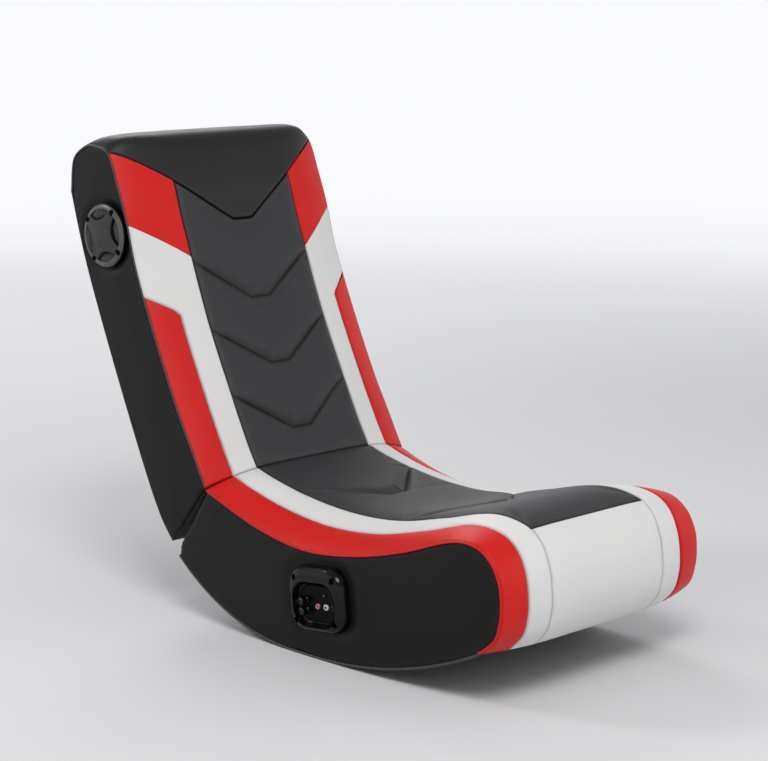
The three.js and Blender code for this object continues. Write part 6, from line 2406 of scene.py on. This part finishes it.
    def turned(self, name: str, profile: Sequence[tuple[float, float]], forward: float, up: float,
               sides: int = 48, closed: bool = False) -> bpy.types.Object:
        """A round part of the panel from its profile.

        Args:
            name: The piece's name.
            profile: Radius and distance out of the side of each of its corners.
            forward: Its place in front of the panel's centre.
            up: Its place above the panel's centre.
            sides: Its facets round.
            closed: Whether the profile closes on itself instead of at the axis.

        Returns:
            The piece.
        """
        points, faces = lathe(profile, sides, closed)
        piece = mesh_object(name, self.world(points[:, 2], forward + points[:, 0], up + points[:, 1]), faces)
        merge_doubles(piece, 0.01)
        face_outwards(piece)
        piece.data.set_sharp_from_angle(angle=math.radians(40))
        return piece

    def rib_tree(self) -> NodeTree:
        """A tree that stands ribs in a circle round a knob."""
        tree, start, end = geometry_tree("knob_ribs", [
            ("Count", "NodeSocketInt"), ("Radius", "NodeSocketFloat"), ("Size", "NodeSocketVector"),
            ("Finish", "NodeSocketMaterial"),
        ])
        circle = tree.node("GeometryNodeMeshCircle", {"Vertices": start.outputs["Count"],
                                                      "Radius": start.outputs["Radius"]})
        rib = tree.node("GeometryNodeMeshCube", {"Size": start.outputs["Size"], "Vertices X": 2, "Vertices Y": 2,
                                                 "Vertices Z": 4})
        where = tree.node("GeometryNodeInputPosition").outputs[0]
        aim = tree.node("FunctionNodeAlignRotationToVector", {"Vector": where}, axis="X")
        placed = tree.node("GeometryNodeInstanceOnPoints", {
            "Points": circle.outputs[0], "Instance": rib.outputs[0], "Rotation": aim.outputs[0]})
        finish_tree(tree, end, placed.outputs[0], start.outputs["Finish"])
        return tree

    def knob(self, name: str, node: str, body: Body, up: float, ribs: NodeTree) -> None:
        """A turning knob: a skirt, a ribbed grip, a hollowed face and a pale pointer."""
        base = self.plate_top + 0.5
        profile = [(0.0, base), (6.8, base), (7.0, base + 0.5), (7.0, base + 1.9), (6.7, base + 2.5), (6.2, base + 2.9),
                   (5.9, base + 4.0), (5.6, base + 10.6), (5.3, base + 11.4), (4.7, base + 11.7), (3.9, base + 11.4),
                   (2.0, base + 10.9), (0.0, base + 10.8)]
        grip = self.turned(name, profile, -self.knob_setback, up)
        self.shop.dress(grip, body, Slot.PLASTIC, [node], finish=self.shop.palette.glossy)
        source = link("rib_source", bpy.data.meshes.new("rib_source"))
        values = {"Count": 20, "Radius": 5.8 * MM, "Size": (0.7 * MM, 0.7 * MM, 7.0 * MM),
                  "Finish": self.shop.palette.glossy}
        piece = run_tree(source, ribs, values, f"{node}_ribs")
        local = read_points(piece.data)
        write_points(piece.data, self.world(local[:, 2] + base + 7.0, local[:, 0] - self.knob_setback,
                                            local[:, 1] + up))
        merge_doubles(piece, 0.005)
        face_outwards(piece)
        self.shop.dress(piece, body, Slot.PLASTIC)
        pointer = ring_body([self.world(base + h, -self.knob_setback + x, up + z) for h, x, z in (
            (11.0, np.array([-0.4, 0.4, 0.4, -0.4]), np.array([2.0, 2.0, 5.0, 5.0])),
            (11.9, np.array([-0.3, 0.3, 0.3, -0.3]), np.array([2.1, 2.1, 4.8, 4.8])))])
        mark = mesh_object(f"{node}_pointer", *pointer, smooth=False)
        self.shop.dress(mark, body, Slot.WHITE_PLASTIC, finish=self.shop.palette.mark)

    def socket(self, name: str, node: str, slot: Slot, forward: float, up: float) -> None:
        """A round socket: a coloured collar round a plated barrel."""
        base = self.plate_top + 0.3
        collar = [(3.4, base), (4.5, base), (4.6, base + 0.4), (4.6, base + 1.6), (4.2, base + 2.1), (3.4, base + 2.2)]
        ring = self.turned(name, collar, forward, up, 36, True)
        self.shop.dress(ring, Body.SEAT, slot, [node])
        barrel = [(2.3, base), (3.3, base), (3.3, base + 2.6), (3.0, base + 2.9), (2.5, base + 2.9), (2.3, base + 2.6)]
        metal = self.turned(f"{node}_barrel", barrel, forward, up, 32, True)
        self.shop.dress(metal, Body.SEAT, Slot.PLASTIC if slot is Slot.PLASTIC else Slot.STEEL)
        core = [(0.0, base), (2.2, base), (2.2, base + 1.2), (1.0, base + 1.3), (0.9, base + 0.6), (0.0, base + 0.6)]
        self.shop.dress(self.turned(f"{node}_core", core, forward, up, 24), Body.SEAT, Slot.PLASTIC)

    def screws(self) -> None:
        """Four cross-headed screws in the wells of the rim."""
        base = self.rise - 7.2
        profile = [(0.0, base - 0.4), (2.1, base - 0.4), (2.3, base + 0.2), (2.1, base + 0.7), (1.7, base + 1.0),
                   (0.9, base + 1.1), (0.0, base + 1.1)]
        for index, centre in enumerate(self.screw_middles(), 1):
            head = self.turned(f"rim_screw_{index}", profile, *centre, 24)
            tools = []
            for angle in (0.4, 0.4 + math.pi / 2):
                long = np.array([math.cos(angle), math.sin(angle)]) * 1.5
                wide = np.array([-math.sin(angle), math.cos(angle)]) * 0.28
                corners = np.array([long + wide, long - wide, -long - wide, -long + wide]) + centre
                rings = [self.world(base + out, *corners.T) for out in (0.45, 1.4)]
                tools.append(mesh_object("slot_tool", *ring_body(rings), smooth=False))
            cut_out(head, tools)
            self.shop.dress(head, Body.SEAT, Slot.STEEL, [f"panel_screw_{index}"],
                            finish=self.shop.palette[Slot.PLASTIC])

    def build(self) -> None:
        """Makes the whole panel."""
        shop = self.shop
        shop.dress(self.housing(), Body.SEAT, Slot.PLASTIC, ["control_housing"], finish=shop.palette.glossy)
        shop.dress(self.plate(), Body.SEAT, Slot.PLATE, ["control_face_plate"])
        ribs = self.rib_tree()
        self.knob("volume_grip", "volume_knob", Body.VOLUME, self.row + self.knob_spacing, ribs)
        self.knob("bass_grip", "bass_knob", Body.BASS, self.row - self.knob_spacing, ribs)
        names = (("red_socket", "red_jack", Slot.RED_PLASTIC), ("pale_socket", "white_jack", Slot.WHITE_PLASTIC),
                 ("supply_socket", "power_jack", Slot.PLASTIC))
        for place, (name, node, slot) in zip(self.jack_places, names):
            self.socket(name, node, slot, place, self.row)
        base = self.plate_top + 0.2
        light = self.turned("panel_light", [(0.0, base), (1.6, base), (1.6, base + 0.5), (1.3, base + 0.95),
                                            (0.7, base + 1.2), (0.0, base + 1.25)], 15.0, self.row + 17.0, 20)
        shop.dress(light, Body.SEAT, Slot.RED_PLASTIC, ["power_light"], finish=shop.palette.dim)
        self.screws()


# Carried-over nodes


class FrameDress:
    """Finishes for the nodes of the frame that show as they are."""

    RULES = (
        ("lead", Slot.RUBBER), ("hinge", Slot.STEEL), ("amplifier", Slot.CIRCUIT), ("speaker", Slot.CONE),
        ("board", Slot.PLYWOOD), ("deck", Slot.PLYWOOD), ("rail", Slot.PLYWOOD), ("rib", Slot.PLYWOOD),
        ("support", Slot.PLYWOOD),
    )

    def __init__(self, shop: Workshop) -> None:
        """Keeps the finishes."""
        self.shop = shop

    def build(self, nodes: dict[str, bpy.types.Object]) -> None:
        """Gives each shown node its finish."""
        for name, node in nodes.items():
            if node.hide_render:
                continue
            slot = next((slot for word, slot in self.RULES if word in name), Slot.PLYWOOD)
            node.data.materials.clear()
            node.data.materials.append(self.shop.palette[slot])
            LOG.info("finished %s as %s", name, slot.value)


# Studio


class Studio:
    """The floor, the light and the camera."""

    LENS = 103.125
    EYE = (-2.3475, -2.3278, 0.9922)
    AZIMUTH = math.radians(-44.683)
    ELEVATION = math.radians(10.36)

    def camera(self) -> None:
        """The camera, where the photograph was taken from."""
        data = bpy.data.cameras.new("camera")
        data.lens = self.LENS
        data.sensor_width = 36.0
        data.clip_end = 60.0
        camera = link("camera", data)
        camera.location = self.EYE
        level = math.cos(self.ELEVATION)
        ahead = Vector((-math.sin(self.AZIMUTH) * level, math.cos(self.AZIMUTH) * level, -math.sin(self.ELEVATION)))
        camera.rotation_mode = "QUATERNION"
        camera.rotation_quaternion = ahead.to_track_quat("-Z", "Y")
        bpy.context.scene.camera = camera

    def lamp(self, name: str, place: tuple[float, float, float], aim: tuple[float, float, float], size: float,
             power: float) -> None:
        """A square soft light.

        Args:
            name: Its name.
            place: Where it stands.
            aim: What it points at.
            size: Its side.
            power: Its power in watts.
        """
        data = bpy.data.lights.new(name, "AREA")
        data.shape = "SQUARE"
        data.size = size
        data.energy = power
        lamp = link(name, data)
        lamp.location = place
        lamp.rotation_mode = "QUATERNION"
        lamp.rotation_quaternion = (Vector(aim) - Vector(place)).to_track_quat("-Z", "Y")

    def world(self) -> None:
        """An even pale surrounding."""
        world = bpy.data.worlds.new("studio")
        bpy.context.scene.world = world
        world.use_nodes = True
        tree = NodeTree(world.node_tree)
        world.node_tree.nodes.clear()
        light = tree.node("ShaderNodeBackground", {"Color": (0.93, 0.94, 0.96, 1.0), "Strength": 0.44})
        tree.node("ShaderNodeOutputWorld", {"Surface": light.outputs[0]})

    def build(self, palette: Palette) -> None:
        """Makes the studio."""
        turns = np.linspace(0, 2 * math.pi, 97)[:-1]
        sweep = np.radians(np.linspace(0, 90, 13))
        radii = np.concatenate([[2500.0], 5000.0 + 2500.0 * np.sin(sweep)])
        heights = np.concatenate([[0.0], 2500.0 * (1 - np.cos(sweep))])
        points = np.array([(r * math.cos(t), r * math.sin(t), h) for r, h in zip(radii, heights) for t in turns])
        count = len(turns)
        faces = [tuple(range(count))]
        faces += [(k * count + i, k * count + (i + 1) % count, (k + 1) * count + (i + 1) % count, (k + 1) * count + i)
                  for k in range(len(radii) - 1) for i in range(count)]
        bowl = mesh_object("studio_bowl", points, faces)
        bowl.data.materials.append(palette.floor)
        self.world()
        centre = (0.0, 0.0, 0.3)
        self.lamp("key", (-1.6, -2.0, 3.1), centre, 1.4, 66.0)
        self.lamp("fill", (1.9, -3.0, 1.6), centre, 2.2, 20.0)
        self.lamp("side", (-1.9, 2.5, 2.3), centre, 0.7, 26.0)
        self.lamp("rim", (1.4, 2.6, 2.4), centre, 1.6, 26.0)
        view = bpy.context.scene.view_settings
        view.view_transform = "Standard"


def main() -> None:
    """Builds the chair around its frame."""
    logging.basicConfig(level=logging.INFO, format="%(message)s")
    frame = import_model()
    studio = Studio()
    studio.camera()
    palette = Palette()
    shop = Workshop(palette, PipingMaker(), StitchMaker())
    cushions = Cushions(shop)
    cushions.build()
    covers = SideCovers(shop, cushions.seat, cushions.back)
    panel = ControlPanel(shop, cushions.seat)
    speakers = Speakers(shop, cushions.back)
    covers.build(panel.hole(), speakers.hole())
    Linings(shop, cushions.seat, cushions.back, covers).build()
    speakers.build()
    panel.build()
    FrameDress(shop).build(frame["nodes"])
    studio.build(palette)
    bpy.context.view_layer.update()
    LOG.info("%d pieces made", len(shop.made))


if __name__ == "__main__":
    main()
